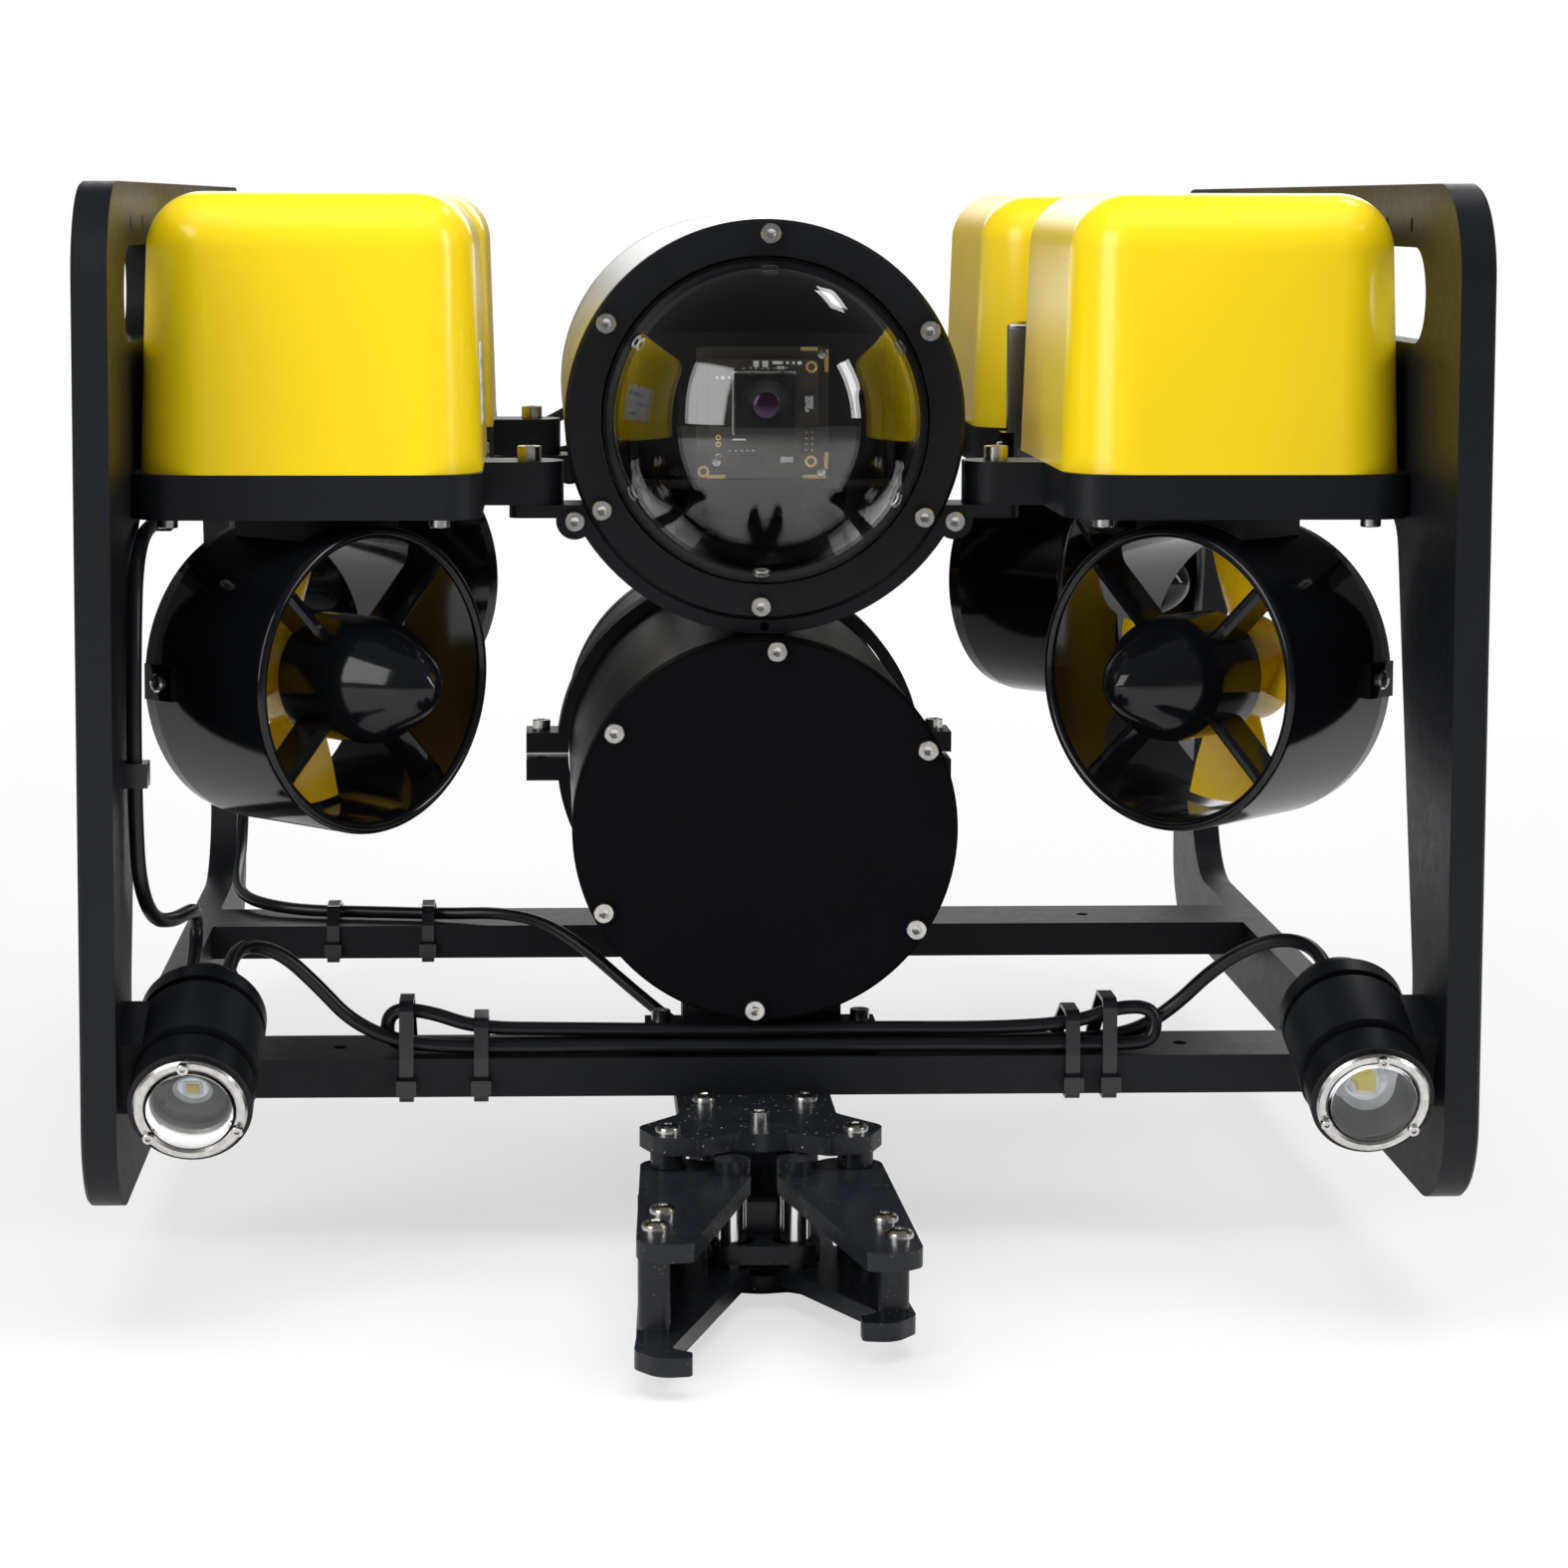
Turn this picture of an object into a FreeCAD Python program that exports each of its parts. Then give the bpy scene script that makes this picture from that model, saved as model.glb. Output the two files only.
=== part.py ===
# Underwater inspection vehicle: an open plate frame with four floats, two pressure housings,
# six ducted thrusters, two lamps and a jawed gripper.
#
# Millimetres, +Z up, the front faces -Y, X runs to the right as seen from the front.
# Pieces are laid out from the centre plane (x = 0), the front edge of the side plates (y = 0)
# and the underside of the skids (z = 0). save() then moves each one, so that the origin lies
# at the centre of the payload holes, on the underside of the cross beams.
import FreeCAD, Part
import math
import os

V = FreeCAD.Vector
X_AXIS, Y_AXIS, Z_AXIS = V(1, 0, 0), V(0, 1, 0), V(0, 0, 1)

# Clearances
seat_gap = 0.3          # round seats and pieces that stop just short of each other
running_gap = 0.05      # radial, shafts that turn or slide
screw_gap = 0.2         # radial, screws in clearance holes

# Frame
frame_width = 450.0
frame_length = 533.0
plate_height = 333.5
plate_thickness = 11.5
plate_corner = 31.0
skid_height = 29.5
window_top = 221.0
window_front_top = 85.0
window_front_bottom = 39.0
window_corner_top = 14.0
window_corner_bottom = 36.0
hand_slot_front = 49.0
hand_slot_length = 112.0
hand_slot_height = 32.0
hand_slot_drop = 37.0       # from the plate's top edge to the slot's middle
marker_length = 5.0
marker_width = 3.0
marker_drop = 11.0

beam_thickness = 13.5
beam_depth = 39.0
front_beam_start = 109.0
rear_beam_inset = 138.0     # from the rear edge of the side plates
payload_spread = 298.0
payload_hole_r = 2.5

# Shelves and floats
shelf_thickness = 15.0
shelf_start = 58.0
lift_duct_gap = 5.5         # between a shelf and the lift thruster beside it
shelf_inner = 97.5
shelf_corner = 13.0
ear_reach = 82.0
ear_radius = 12.0
float_screw_inner = 14.5    # from the shelf's inner edge
float_screw_outer = 10.5    # from the side plate
float_screw_front = 20.0
float_height = 93.4
float_side_gap = 1.5
float_draft = 3.2
float_corner = 23.0
float_top_round = 19.0

# Electronics housing
upper_radius = 69.7
upper_wall = 3.0
flange_front = 120.0
flange_thickness = 14.0
dome_radius = 57.0
dome_wall = 3.5
dome_rise = 52.0
dome_rim = 5.0
dome_rim_thickness = 4.0
upper_rear_inset = 120.0    # from the rear edge of the side plates to the end of the tube
upper_cap_thickness = 12.0
flange_screw_circle = 64.8
flange_screw_turn = 1.3

# Camera and tray inside the electronics housing
camera_rise = 5.5           # above the housing's axis
board_size = 47.0
front_board_size = 39.0
board_thickness = 1.6
board_to_bulkhead = 12.0
board_to_board = 9.0
board_corner_rear = 4.0     # from the edge to the standoff
board_corner_front = 3.0
standoff_radius = 2.4
holder_size = 21.0
holder_length = 9.0
lens_barrel_radius = 9.0
lens_barrel_length = 15.0
tray_half_width = 46.0
tray_below_axis = 22.0
tray_above_axis = 30.0
tray_wall = 3.0
tray_front_gap = 3.0
tray_back_gap = 12.0
tray_runner_x = 36.0
tray_runner_width = 8.0
bulkhead_place = 14.0       # from the tray's front
tray_window_radius = 9.0

# Battery housing
lower_radius = 67.0
lower_wall = 3.0
lower_cap_front = 110.0
lower_cap_thickness = 12.0
lower_cap_lip = 0.3
lower_rear_inset = 133.0
cap_screw_circle = 63.0
cap_screw_turn = 3.3
clamp_lead = 56.0           # from the band's middle back to the rear beam
clamp_width = 20.0
clamp_wall = 5.0
clamp_split = 3.0
clamp_ear_reach = 84.0
clamp_ear_height = 8.0
cradle_depth = 19.0
cradle_half_width = 41.0
cradle_height = 22.0
cradle_seat = 12.9          # under the tube
cradle_foot = 7.0
cradle_foot_start = 28.0
cradle_screw_x = 35.5

# Saddles that hang the electronics housing from the shelves
saddle_depth = 24.0
saddle_wall = 5.0
saddle_arm_thickness = 4.5
saddle_arm_reach = 89.0
saddle_corner = 4.0
saddle_lug_radius = 6.5
saddle_screw_circle = 75.0
saddle_screw_turn = 118.0   # from the top, to each side

# Thrusters
thruster_inset = 59.5       # from the side plate's inner face
thruster_height = 166.7
thruster_front = 95.0
thruster_yaw = 45.0
lift_thruster_height = 251.0
duct_radius = 52.0
duct_wall = 4.0
duct_length = 60.0
pod_radius = 21.5
nose_length = 28.0
strut_count = 4
strut_thickness = 4.5
strut_chord = 15.0
shaft_radius = 3.0
hub_radius = 18.5
blade_count = 4
blade_pitch = 92.0
blade_thickness = 2.4
blade_tip_gap = 1.5
blade_chords = (17.0, 26.0, 33.0)   # at the hub, half way and at the tip
pod_back = 3.0              # heights along the duct's axis, with its middle at 0
hub_back = -24.0
shaft_end = -18.0
mount_length = 44.0
mount_width = 34.0

# Lamps
lamp_inset = 23.5           # from the side plate's inner face
lamp_height = 39.0
lamp_tilt = 20.0
lamp_flange_radius = 20.0
lamp_barrel_radius = 17.5
lamp_length = 66.0
flange_length = 12.0
rear_ring_start = 46.0
rear_ring_length = 9.0
bezel_length = 2.5
bezel_post_radius = 1.9
bezel_post_height = 1.8
bezel_post_turns = (35, 155, 275)
bezel_radius = 18.4
lens_radius = 14.5
lens_crown = 3.0

# Gripper
gripper_x = -4.0
grip_plate = 6.0
grip_top_gap = 5.5
jaw_opening = 24.5
grip_bottom_gap = 0.6
pivot_x = 31.5
pivot_y = 56.0
pivot_radius = 2.5
link_x = 10.5
link_y = 46.0
link_radius = 5.3
jaw_close = 14.0
post_x = 17.5
post_y = 104.0
post_radius = 5.0
sleeve_radius = 6.0
yoke_wall = 3.2
right_jaw = (-54.5, -25.0, -12.0, -15.0)    # y of its upper tip, hook, pocket and wall
left_jaw = (-43.0, -60.0, -49.0, -35.0)
rod_radius = 4.0
yoke_thickness = 6.2
yoke_drop = 3.5
actuator_radius = 20.0
actuator_start = 113.0
actuator_length = 132.0
actuator_flange = 6.0

# Cables and ties
cable_radius = 2.5
gland_length = 14.0
gland_radius = 7.0
tether_gland_radius = 9.0
tether_gland_rise = 26.0
small_gland_radius = 5.6
twin_gland_offset = 6.2
spare_glands = ((40, 0), (42, -25.7), (26, 33.3), (16, -46.7))  # x and rise on the rear cap
tie_thickness = 1.4
tie_width = 5.0
front_ties = ((-125, 48.2), (-99, 42.4), (108, 43.8), (121, 48.2))  # x and top of the bundle
rear_ties = ((-164, 36.2), (-125, 36.2))

# Fasteners: thread radius, head radius, head height
M3 = (1.5, 2.75, 2.4)
M4 = (2.0, 3.5, 4.0)
M5 = (2.5, 4.25, 5.0)
button_radius = 4.3
button_height = 1.9
button_dome = 1.3

# Places that follow from the sizes above
half_width = frame_width / 2
plate_inner = half_width - plate_thickness
beam_bottom = skid_height - beam_thickness
hand_slot_middle = plate_height - hand_slot_drop
rear_beam_start = frame_length - rear_beam_inset - beam_depth
clamp_middle = rear_beam_start - clamp_lead
front_cradle = front_beam_start + beam_depth - cradle_depth - 1.0
rear_cradle = rear_beam_start + 1.0
shelf_length = frame_length / 2 - duct_radius - lift_duct_gap - shelf_start
shelf_bottom = window_top + 1.0
shelf_top = shelf_bottom + shelf_thickness
ear_y = flange_front + 2 + saddle_depth / 2
flange_back = flange_front + flange_thickness
dome_centre = flange_front + dome_radius - dome_rise
bulkhead_front = flange_back + tray_front_gap + bulkhead_place
rear_board_front = bulkhead_front - board_to_bulkhead
front_board_front = rear_board_front - board_to_board
upper_tube_end = frame_length - upper_rear_inset
lower_tube_end = frame_length - lower_rear_inset
lower_cap_radius = lower_radius + lower_cap_lip
lower_cap_back = lower_cap_front + lower_cap_thickness
saddle_radius = upper_radius + saddle_wall
lower_axis_height = skid_height + cradle_seat + lower_radius
upper_axis_height = lower_axis_height + lower_cap_radius + seat_gap + saddle_radius
thruster_x = plate_inner - thruster_inset
thruster_rear = frame_length - thruster_front
lamp_x = plate_inner - lamp_inset
lamp_front = V(-lamp_x, 0, lamp_height)
lamp_back = V(0, math.cos(math.radians(lamp_tilt)), math.sin(math.radians(lamp_tilt)))
lamp_side = X_AXIS
lamp_gland = lamp_front + lamp_back * lamp_length
grip_top = beam_bottom
jaw_top = grip_top - grip_plate - grip_top_gap
jaw_bottom = jaw_top - 2 * grip_plate - jaw_opening
grip_bottom = jaw_bottom - grip_bottom_gap
rod_height = (grip_top - grip_plate + grip_bottom) / 2
origin = V(0, (front_beam_start + rear_beam_start + beam_depth) / 2, beam_bottom)

os.makedirs("parts", exist_ok=True)


def save(name, *solids):
    shape = solids[0] if len(solids) == 1 else Part.makeCompound(list(solids))
    shape = shape.copy()
    shape.translate(-origin)
    shape.exportStep("parts/" + name + ".step")


def box(x0, x1, y0, y1, z0, z1):
    return Part.makeBox(x1 - x0, y1 - y0, z1 - z0, V(x0, y0, z0))


def rod(radius, start, direction, length):
    return Part.makeCylinder(radius, length, start, direction)


def ring(outer, inner, start, direction, length):
    return rod(outer, start, direction, length).cut(rod(inner, start, direction, length))


def fuse(first, *others):
    return first.fuse(list(others)).removeSplitter()


def mirror_x(shape):
    return shape.mirror(V(0, 0, 0), X_AXIS)


def mirror_y(shape):
    return shape.mirror(V(0, frame_length / 2, 0), Y_AXIS)


def four_corners(shape):
    """The front left piece and its three mirror images, by name."""
    rear = mirror_y(shape)
    return {"front_left": shape, "front_right": mirror_x(shape),
            "rear_left": rear, "rear_right": mirror_x(rear)}


def outline(corners, place):
    """A closed wire round corners (u, v, radius); place(u, v) puts a point in space."""
    flat = [V(u, v, 0) for u, v, radius in corners]
    ends, edges = [], []
    for i, (u, v, radius) in enumerate(corners):
        here = flat[i]
        back = (flat[i - 1] - here).normalize()
        on = (flat[(i + 1) % len(flat)] - here).normalize()
        half = back.getAngle(on) / 2
        reach = radius / math.tan(half)
        start, end = here + back * reach, here + on * reach
        ends.append((place(start.x, start.y), place(end.x, end.y)))
        if radius > 0:
            middle = here + (back + on).normalize() * (radius / math.sin(half) - radius)
            edges.append(Part.Arc(ends[-1][0], place(middle.x, middle.y), ends[-1][1]).toShape())
    for i in range(len(ends)):
        if (ends[i][0] - ends[i - 1][1]).Length > 0.001:
            edges.append(Part.LineSegment(ends[i - 1][1], ends[i][0]).toShape())
    return Part.Wire(Part.__sortEdges__(edges))


def side_slab(corners, x0, x1):
    wire = outline(corners, lambda u, v: V(x0, u, v))
    return Part.Face(wire).extrude(V(x1 - x0, 0, 0))


def flat_slab(corners, z0, z1):
    wire = outline(corners, lambda u, v: V(u, v, z0))
    return Part.Face(wire).extrude(V(0, 0, z1 - z0))


def rectangle(u0, u1, v0, v1, radius):
    return [(u0, v0, radius), (u1, v0, radius), (u1, v1, radius), (u0, v1, radius)]


def revolve(points, start, direction, side):
    """A solid of revolution; points are (distance along the axis, radius)."""
    corners = [start + direction * a + side * r for a, r in points]
    return Part.Face(Part.makePolygon(corners + corners[:1])).revolve(start, direction, 360)


def cap_screw(size, head_at, outward, grip):
    """A socket head screw whose head sits at head_at and whose shank runs grip deep."""
    thread, head, height = size
    return fuse(rod(head, head_at, outward, height), rod(thread, head_at, -outward, grip))


def screw_hole(size, head_at, outward, grip):
    return rod(size[0] + screw_gap, head_at + outward, -outward, grip + 1 + screw_gap)


def circle_places(count, radius, turn, y, axis_height):
    """Points on a bolt circle about a housing's axis, the first near its top."""
    angles = [math.radians(turn + 360 * i / count) for i in range(count)]
    return [V(radius * math.sin(a), y, axis_height + radius * math.cos(a)) for a in angles]


def tube_along(points, radius):
    """A cable's tube: straight runs joined by arcs as large as the runs allow."""
    lengths = [(b - a).Length for a, b in zip(points, points[1:])]
    edges, radii, start = [], [], points[0]
    for i in range(1, len(points) - 1):
        back = (points[i - 1] - points[i]).normalize()
        on = (points[i + 1] - points[i]).normalize()
        half = back.getAngle(on) / 2
        reach = 0.45 * min(lengths[i - 1], lengths[i])
        bend = reach * math.tan(half)
        first, last = points[i] + back * reach, points[i] + on * reach
        middle = points[i] + (back + on).normalize() * (bend / math.sin(half) - bend)
        edges.append(Part.LineSegment(start, first).toShape())
        edges.append(Part.Arc(first, middle, last).toShape())
        radii.append(bend)
        start = last
    edges.append(Part.LineSegment(start, points[-1]).toShape())
    path = Part.Wire(edges)
    circle = Part.Circle(points[0], points[1] - points[0], radius).toShape()
    tube = path.makePipeShell([Part.Wire(circle)], True, False)
    print("cable", round(path.Length, 1), "long, radii", [round(r, 1) for r in radii],
          "volume ratio", round(tube.Volume / (math.pi * radius ** 2 * path.Length), 4))
    return tube


# ------------------------------------------------------------------ frame

def hand_slot():
    low, high = hand_slot_middle - hand_slot_height / 2, hand_slot_middle + hand_slot_height / 2
    corners = rectangle(hand_slot_front, hand_slot_front + hand_slot_length, low, high,
                        hand_slot_height / 2 - 0.01)
    return side_slab(corners, plate_inner - 1, half_width + 1)


def marker_slots():
    slots = []
    top, half = plate_height - marker_drop, marker_width / 2
    for y in (71.0, 108.0):
        corners = rectangle(y - half, y + half, top - marker_length, top, half - 0.1)
        slots.append(side_slab(corners, plate_inner - 1, half_width + 1))
    return slots


def side_plate():
    """The right-hand plate: a skid, two sloping legs and a solid upper half with slots."""
    outer = rectangle(0, frame_length, 0, plate_height, plate_corner)
    window = [(window_front_bottom, skid_height, window_corner_bottom),
              (frame_length - window_front_bottom, skid_height, window_corner_bottom),
              (frame_length - window_front_top, window_top, window_corner_top),
              (window_front_top, window_top, window_corner_top)]
    plate = side_slab(outer, plate_inner, half_width)
    cuts = [side_slab(window, plate_inner - 1, half_width + 1), hand_slot(), mirror_y(hand_slot())]
    for slot in marker_slots():
        cuts += [slot, mirror_y(slot)]
    plate = plate.cut(cuts)
    edges = [e for e in plate.Edges if e.Length > 100 and abs(e.BoundBox.XMax - half_width) < 0.01
             and (e.BoundBox.ZMax < 0.01 or e.BoundBox.ZMin > plate_height - 0.01
                  or e.BoundBox.YMax < 0.01 or e.BoundBox.YMin > frame_length - 0.01)]
    return plate.makeChamfer(1.0, edges) if edges else plate


def cross_beam(start):
    beam = box(-plate_inner, plate_inner, start, start + beam_depth, beam_bottom, skid_height)
    for x in (-payload_spread / 2, payload_spread / 2):
        hole = rod(payload_hole_r, V(x, start + beam_depth / 2, beam_bottom - 1), Z_AXIS,
                   beam_thickness + 2)
        beam = beam.cut(hole)
    return beam


def shelf():
    """The front left shelf, with the ear that carries the electronics saddle."""
    corners = rectangle(-plate_inner, -shelf_inner, shelf_start, shelf_start + shelf_length,
                        shelf_corner)
    plate = flat_slab(corners, shelf_bottom, shelf_top)
    ear = fuse(rod(ear_radius, V(-ear_reach, ear_y, shelf_bottom), Z_AXIS, shelf_thickness),
               box(-shelf_inner - 1, -ear_reach, ear_y - ear_radius, ear_y + ear_radius,
                   shelf_bottom, shelf_top))
    whole = fuse(plate, ear)
    for head_at, outward, size, grip in shelf_screws():
        whole = whole.cut(screw_hole(size, head_at, outward, grip))
    return whole


def shelf_screws():
    """The ear's M5 bolt and the two M4 screws that hold the float from below."""
    places = [(V(-ear_reach, ear_y, shelf_top), Z_AXIS, M5, shelf_thickness + 10)]
    for x in (-shelf_inner - float_screw_inner, -plate_inner + float_screw_outer):
        places.append((V(x, shelf_start + float_screw_front, shelf_bottom), -Z_AXIS, M4,
                       shelf_thickness + 8))
    return places


def buoyancy_float():
    """A moulded block with draft, standing on its shelf."""
    x0, x1 = -plate_inner + float_side_gap, -shelf_inner
    y0, y1 = shelf_start, shelf_start + shelf_length
    base = outline(rectangle(x0, x1, y0, y1, float_corner), lambda u, v: V(u, v, shelf_top))
    d = float_draft
    top = outline(rectangle(x0 + d, x1 - d, y0 + d, y1 - d, float_corner - d),
                  lambda u, v: V(u, v, shelf_top + float_height))
    block = Part.makeLoft([base, top], True, True)
    rim = [e for e in block.Edges if e.BoundBox.ZMin > shelf_top + float_height - 0.01]
    block = block.makeFillet(float_top_round, rim)
    for head_at, outward, size, grip in shelf_screws()[1:]:
        block = block.cut(screw_hole(size, head_at, outward, grip))
    return block


# ------------------------------------------------------------------ electronics housing

def dome_flange():
    """The ring that clamps the dome's rim against the end of the tube."""
    start = V(0, flange_front, upper_axis_height)
    body = rod(upper_radius, start, Y_AXIS, flange_thickness)
    body = body.makeChamfer(1.2, [e for e in body.Edges if e.BoundBox.YMax < flange_front + 0.01])
    rim_r = dome_radius + dome_rim + seat_gap
    rim_back = flange_thickness - dome_rim_thickness - seat_gap
    body = body.cut(rod(dome_radius + seat_gap, start - Y_AXIS, Y_AXIS, flange_thickness + 2))
    body = body.cut(rod(rim_r, start + Y_AXIS * rim_back, Y_AXIS, flange_thickness))
    for place in circle_places(6, flange_screw_circle, flange_screw_turn, flange_front,
                               upper_axis_height):
        body = body.cut(screw_hole(M4, place, -Y_AXIS, flange_thickness - 1))
    return body


def camera_dome():
    centre = V(0, dome_centre, upper_axis_height)
    back = flange_back - dome_centre
    outer = Part.makeSphere(dome_radius, centre)
    outer = outer.cut(rod(dome_radius + 5, centre, Y_AXIS, dome_radius + 5))
    outer = fuse(outer, rod(dome_radius, centre, Y_AXIS, back),
                 rod(dome_radius + dome_rim, centre + Y_AXIS * (back - dome_rim_thickness),
                     Y_AXIS, dome_rim_thickness))
    hollow = fuse(Part.makeSphere(dome_radius - dome_wall, centre),
                  rod(dome_radius - dome_wall, centre, Y_AXIS, back + 1))
    return outer.cut(hollow)


def end_cap(radius, inner_radius, y, axis_height, thickness, plug=8.0):
    """A flat end cap with a plug that fits the tube; the plug points forwards."""
    cap = rod(radius, V(0, y, axis_height), Y_AXIS, thickness)
    cap = cap.makeChamfer(1.2, [e for e in cap.Edges if e.BoundBox.YMin > y + thickness - 0.01])
    return fuse(cap, rod(inner_radius - seat_gap, V(0, y - plug, axis_height), Y_AXIS, plug + 1))


def electronics_tray():
    """Two side panels on a floor plate, with the bulkhead that carries the camera."""
    half, wall = tray_half_width, tray_wall / 2
    low, high = upper_axis_height - tray_below_axis, upper_axis_height + tray_above_axis
    front, back = flange_back + tray_front_gap, upper_tube_end - tray_back_gap
    panels = [box(x - wall, x + wall, front, back, low, high) for x in (-half, half)]
    floor = box(-half - wall, half + wall, front, back, low - tray_wall, low)
    edge = tray_runner_width / 2
    drop = tray_drop(tray_runner_x + edge, low)
    runners = [box(x - edge, x + edge, front + 20, back - 20, low - drop, low - tray_wall)
               for x in (-tray_runner_x, tray_runner_x)]
    bulkhead = box(-half + wall, half - wall, bulkhead_front, bulkhead_front + tray_wall, low, high)
    tray = fuse(panels[0], panels[1], floor, bulkhead, *runners)
    window = rod(tray_window_radius, V(0, front, upper_axis_height + camera_rise), Y_AXIS, 40)
    return tray.cut(window)


def tray_drop(x, low):
    """How far below the tray's floor line the tube's wall lies at x, less the seat gap."""
    inside = upper_radius - upper_wall - seat_gap
    return low - (upper_axis_height - math.sqrt(inside ** 2 - x ** 2))


def camera_boards():
    """Two stacked circuit boards on standoffs."""
    z = upper_axis_height + camera_rise
    rear, front = board_size / 2, front_board_size / 2
    rear_back = rear_board_front + board_thickness
    front_back = front_board_front + board_thickness
    pieces = [box(-rear, rear, rear_board_front, rear_back, z - rear, z + rear),
              box(-front, front, front_board_front, front_back, z - front, z + front)]
    far, near = rear - board_corner_rear, front - board_corner_front
    for sx, sz in ((-1, -1), (-1, 1), (1, -1), (1, 1)):
        pieces.append(rod(standoff_radius, V(sx * far, rear_back, z + sz * far), Y_AXIS,
                          bulkhead_front - rear_back))
        pieces.append(rod(standoff_radius, V(sx * near, front_back, z + sz * near), Y_AXIS,
                          rear_board_front - front_back))
    return pieces


def camera_lens():
    z = upper_axis_height + camera_rise
    half = holder_size / 2
    holder = box(-half, half, front_board_front - holder_length, front_board_front, z - half, z + half)
    barrel = rod(lens_barrel_radius, V(0, front_board_front - holder_length, z), -Y_AXIS,
                 lens_barrel_length - holder_length)
    return fuse(holder, barrel)


def saddle_screws():
    """The two M4 screws in the lugs of the front saddle."""
    y = ear_y - saddle_depth / 2
    turns = [math.radians(side * saddle_screw_turn) for side in (-1, 1)]
    return [(V(saddle_screw_circle * math.sin(a), y,
               upper_axis_height + saddle_screw_circle * math.cos(a)), -Y_AXIS, M4, 12)
            for a in turns]


def housing_saddle():
    """The front saddle: half a ring under the housing, a lug each side and arms to the ears."""
    y0, y1 = ear_y - saddle_depth / 2, ear_y + saddle_depth / 2
    centre = V(0, y0, upper_axis_height)
    arms = box(-saddle_arm_reach, saddle_arm_reach, y0, y1, shelf_bottom - saddle_arm_thickness,
               shelf_bottom)
    lugs = [rod(saddle_lug_radius, place, Y_AXIS, saddle_depth)
            for place, outward, size, grip in saddle_screws()]
    body = fuse(rod(saddle_radius, centre, Y_AXIS, saddle_depth), arms, *lugs)
    body = body.cut([box(-half_width, half_width, y0 - 1, y1 + 1, shelf_bottom,
                         upper_axis_height + 2 * upper_radius),
                     rod(upper_radius + seat_gap, centre - Y_AXIS, Y_AXIS, saddle_depth + 2)])
    corners = [e for e in body.Edges if abs(abs(e.CenterOfMass.x) - saddle_arm_reach) < 0.01
               and abs(e.CenterOfMass.y - ear_y) > 1]
    body = body.makeFillet(saddle_corner, corners)
    for head_at, outward, size, grip in saddle_screws():
        body = body.cut(screw_hole(size, head_at, outward, grip))
    for x in (-ear_reach, ear_reach):
        body = body.cut(screw_hole(M5, V(x, ear_y, shelf_top), Z_AXIS, shelf_thickness + 10))
    return body.cut(rod(1.6, V(0, y0 - 1, upper_axis_height - (saddle_radius + upper_radius) / 2),
                        Y_AXIS, 8))


# ------------------------------------------------------------------ battery housing

def battery_front_cap():
    cap = end_cap(lower_cap_radius, lower_radius - lower_wall, 0, lower_axis_height,
                  lower_cap_thickness)
    cap = cap.mirror(V(0, 0, 0), Y_AXIS)
    cap.translate(V(0, lower_cap_back, 0))
    for place in circle_places(6, cap_screw_circle, cap_screw_turn, lower_cap_front,
                               lower_axis_height):
        cap = cap.cut(screw_hole(M4, place, -Y_AXIS, lower_cap_thickness - 1))
    return cap


def battery_pack():
    """The cell block, a snug round bundle with two foam bands that fit the tube."""
    inside = lower_radius - lower_wall
    start = V(0, lower_cap_back + 20, lower_axis_height)
    length = lower_tube_end - lower_cap_back - 45
    block = rod(inside - 4, start, Y_AXIS, length)
    bands = [rod(inside - seat_gap, start + Y_AXIS * a, Y_AXIS, 14) for a in (20, length - 34)]
    return fuse(block, *bands)


def battery_clamp():
    """A split band round the tube, in two halves with ears and cross screws."""
    outer, inner = lower_radius + clamp_wall, lower_radius + seat_gap
    y0 = clamp_middle - clamp_width / 2
    centre = V(0, y0, lower_axis_height)
    ears = box(-clamp_ear_reach, clamp_ear_reach, y0, y0 + clamp_width,
               lower_axis_height - clamp_ear_height - clamp_split / 2,
               lower_axis_height + clamp_ear_height + clamp_split / 2)
    band = fuse(rod(outer, centre, Y_AXIS, clamp_width), ears)
    band = band.cut(rod(inner, centre - Y_AXIS, Y_AXIS, clamp_width + 2))
    split = box(-100, 100, y0 - 1, y0 + clamp_width + 1,
                lower_axis_height - clamp_split / 2, lower_axis_height + clamp_split / 2)
    band = band.cut(split)
    for head_at, outward, size, grip in clamp_screws():
        band = band.cut(screw_hole(size, head_at, outward, grip))
    return band.Solids


def clamp_screws():
    top = lower_axis_height + clamp_ear_height + clamp_split / 2
    grip = 2 * clamp_ear_height + clamp_split
    x = (lower_radius + clamp_wall + clamp_ear_reach) / 2
    return [(V(s * x, clamp_middle, top), Z_AXIS, M4, grip) for s in (-1, 1)]


def battery_cradle(y0):
    """A block on a cross beam with a round seat for the tube and a foot each side."""
    body = box(-cradle_half_width, cradle_half_width, y0, y0 + cradle_depth,
               skid_height, skid_height + cradle_height)
    body = body.cut(rod(lower_radius + seat_gap, V(0, y0 - 1, lower_axis_height), Y_AXIS,
                        cradle_depth + 2))
    step = box(cradle_foot_start, cradle_half_width + 1, y0 - 1, y0 + cradle_depth + 1,
               skid_height + cradle_foot, skid_height + cradle_height + 1)
    return body.cut([step, mirror_x(step)])


def cradle_screws(y0):
    return [(V(s * cradle_screw_x, y0 + cradle_depth / 2, skid_height + cradle_foot), Z_AXIS, M4,
             cradle_foot - 0.2) for s in (-1, 1)]


# ------------------------------------------------------------------ thrusters

def axial(along, radius):
    """A point of a profile that is turned about the Z axis."""
    return V(radius, 0, along)


def line(first, last):
    return Part.LineSegment(first, last).toShape()


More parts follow.
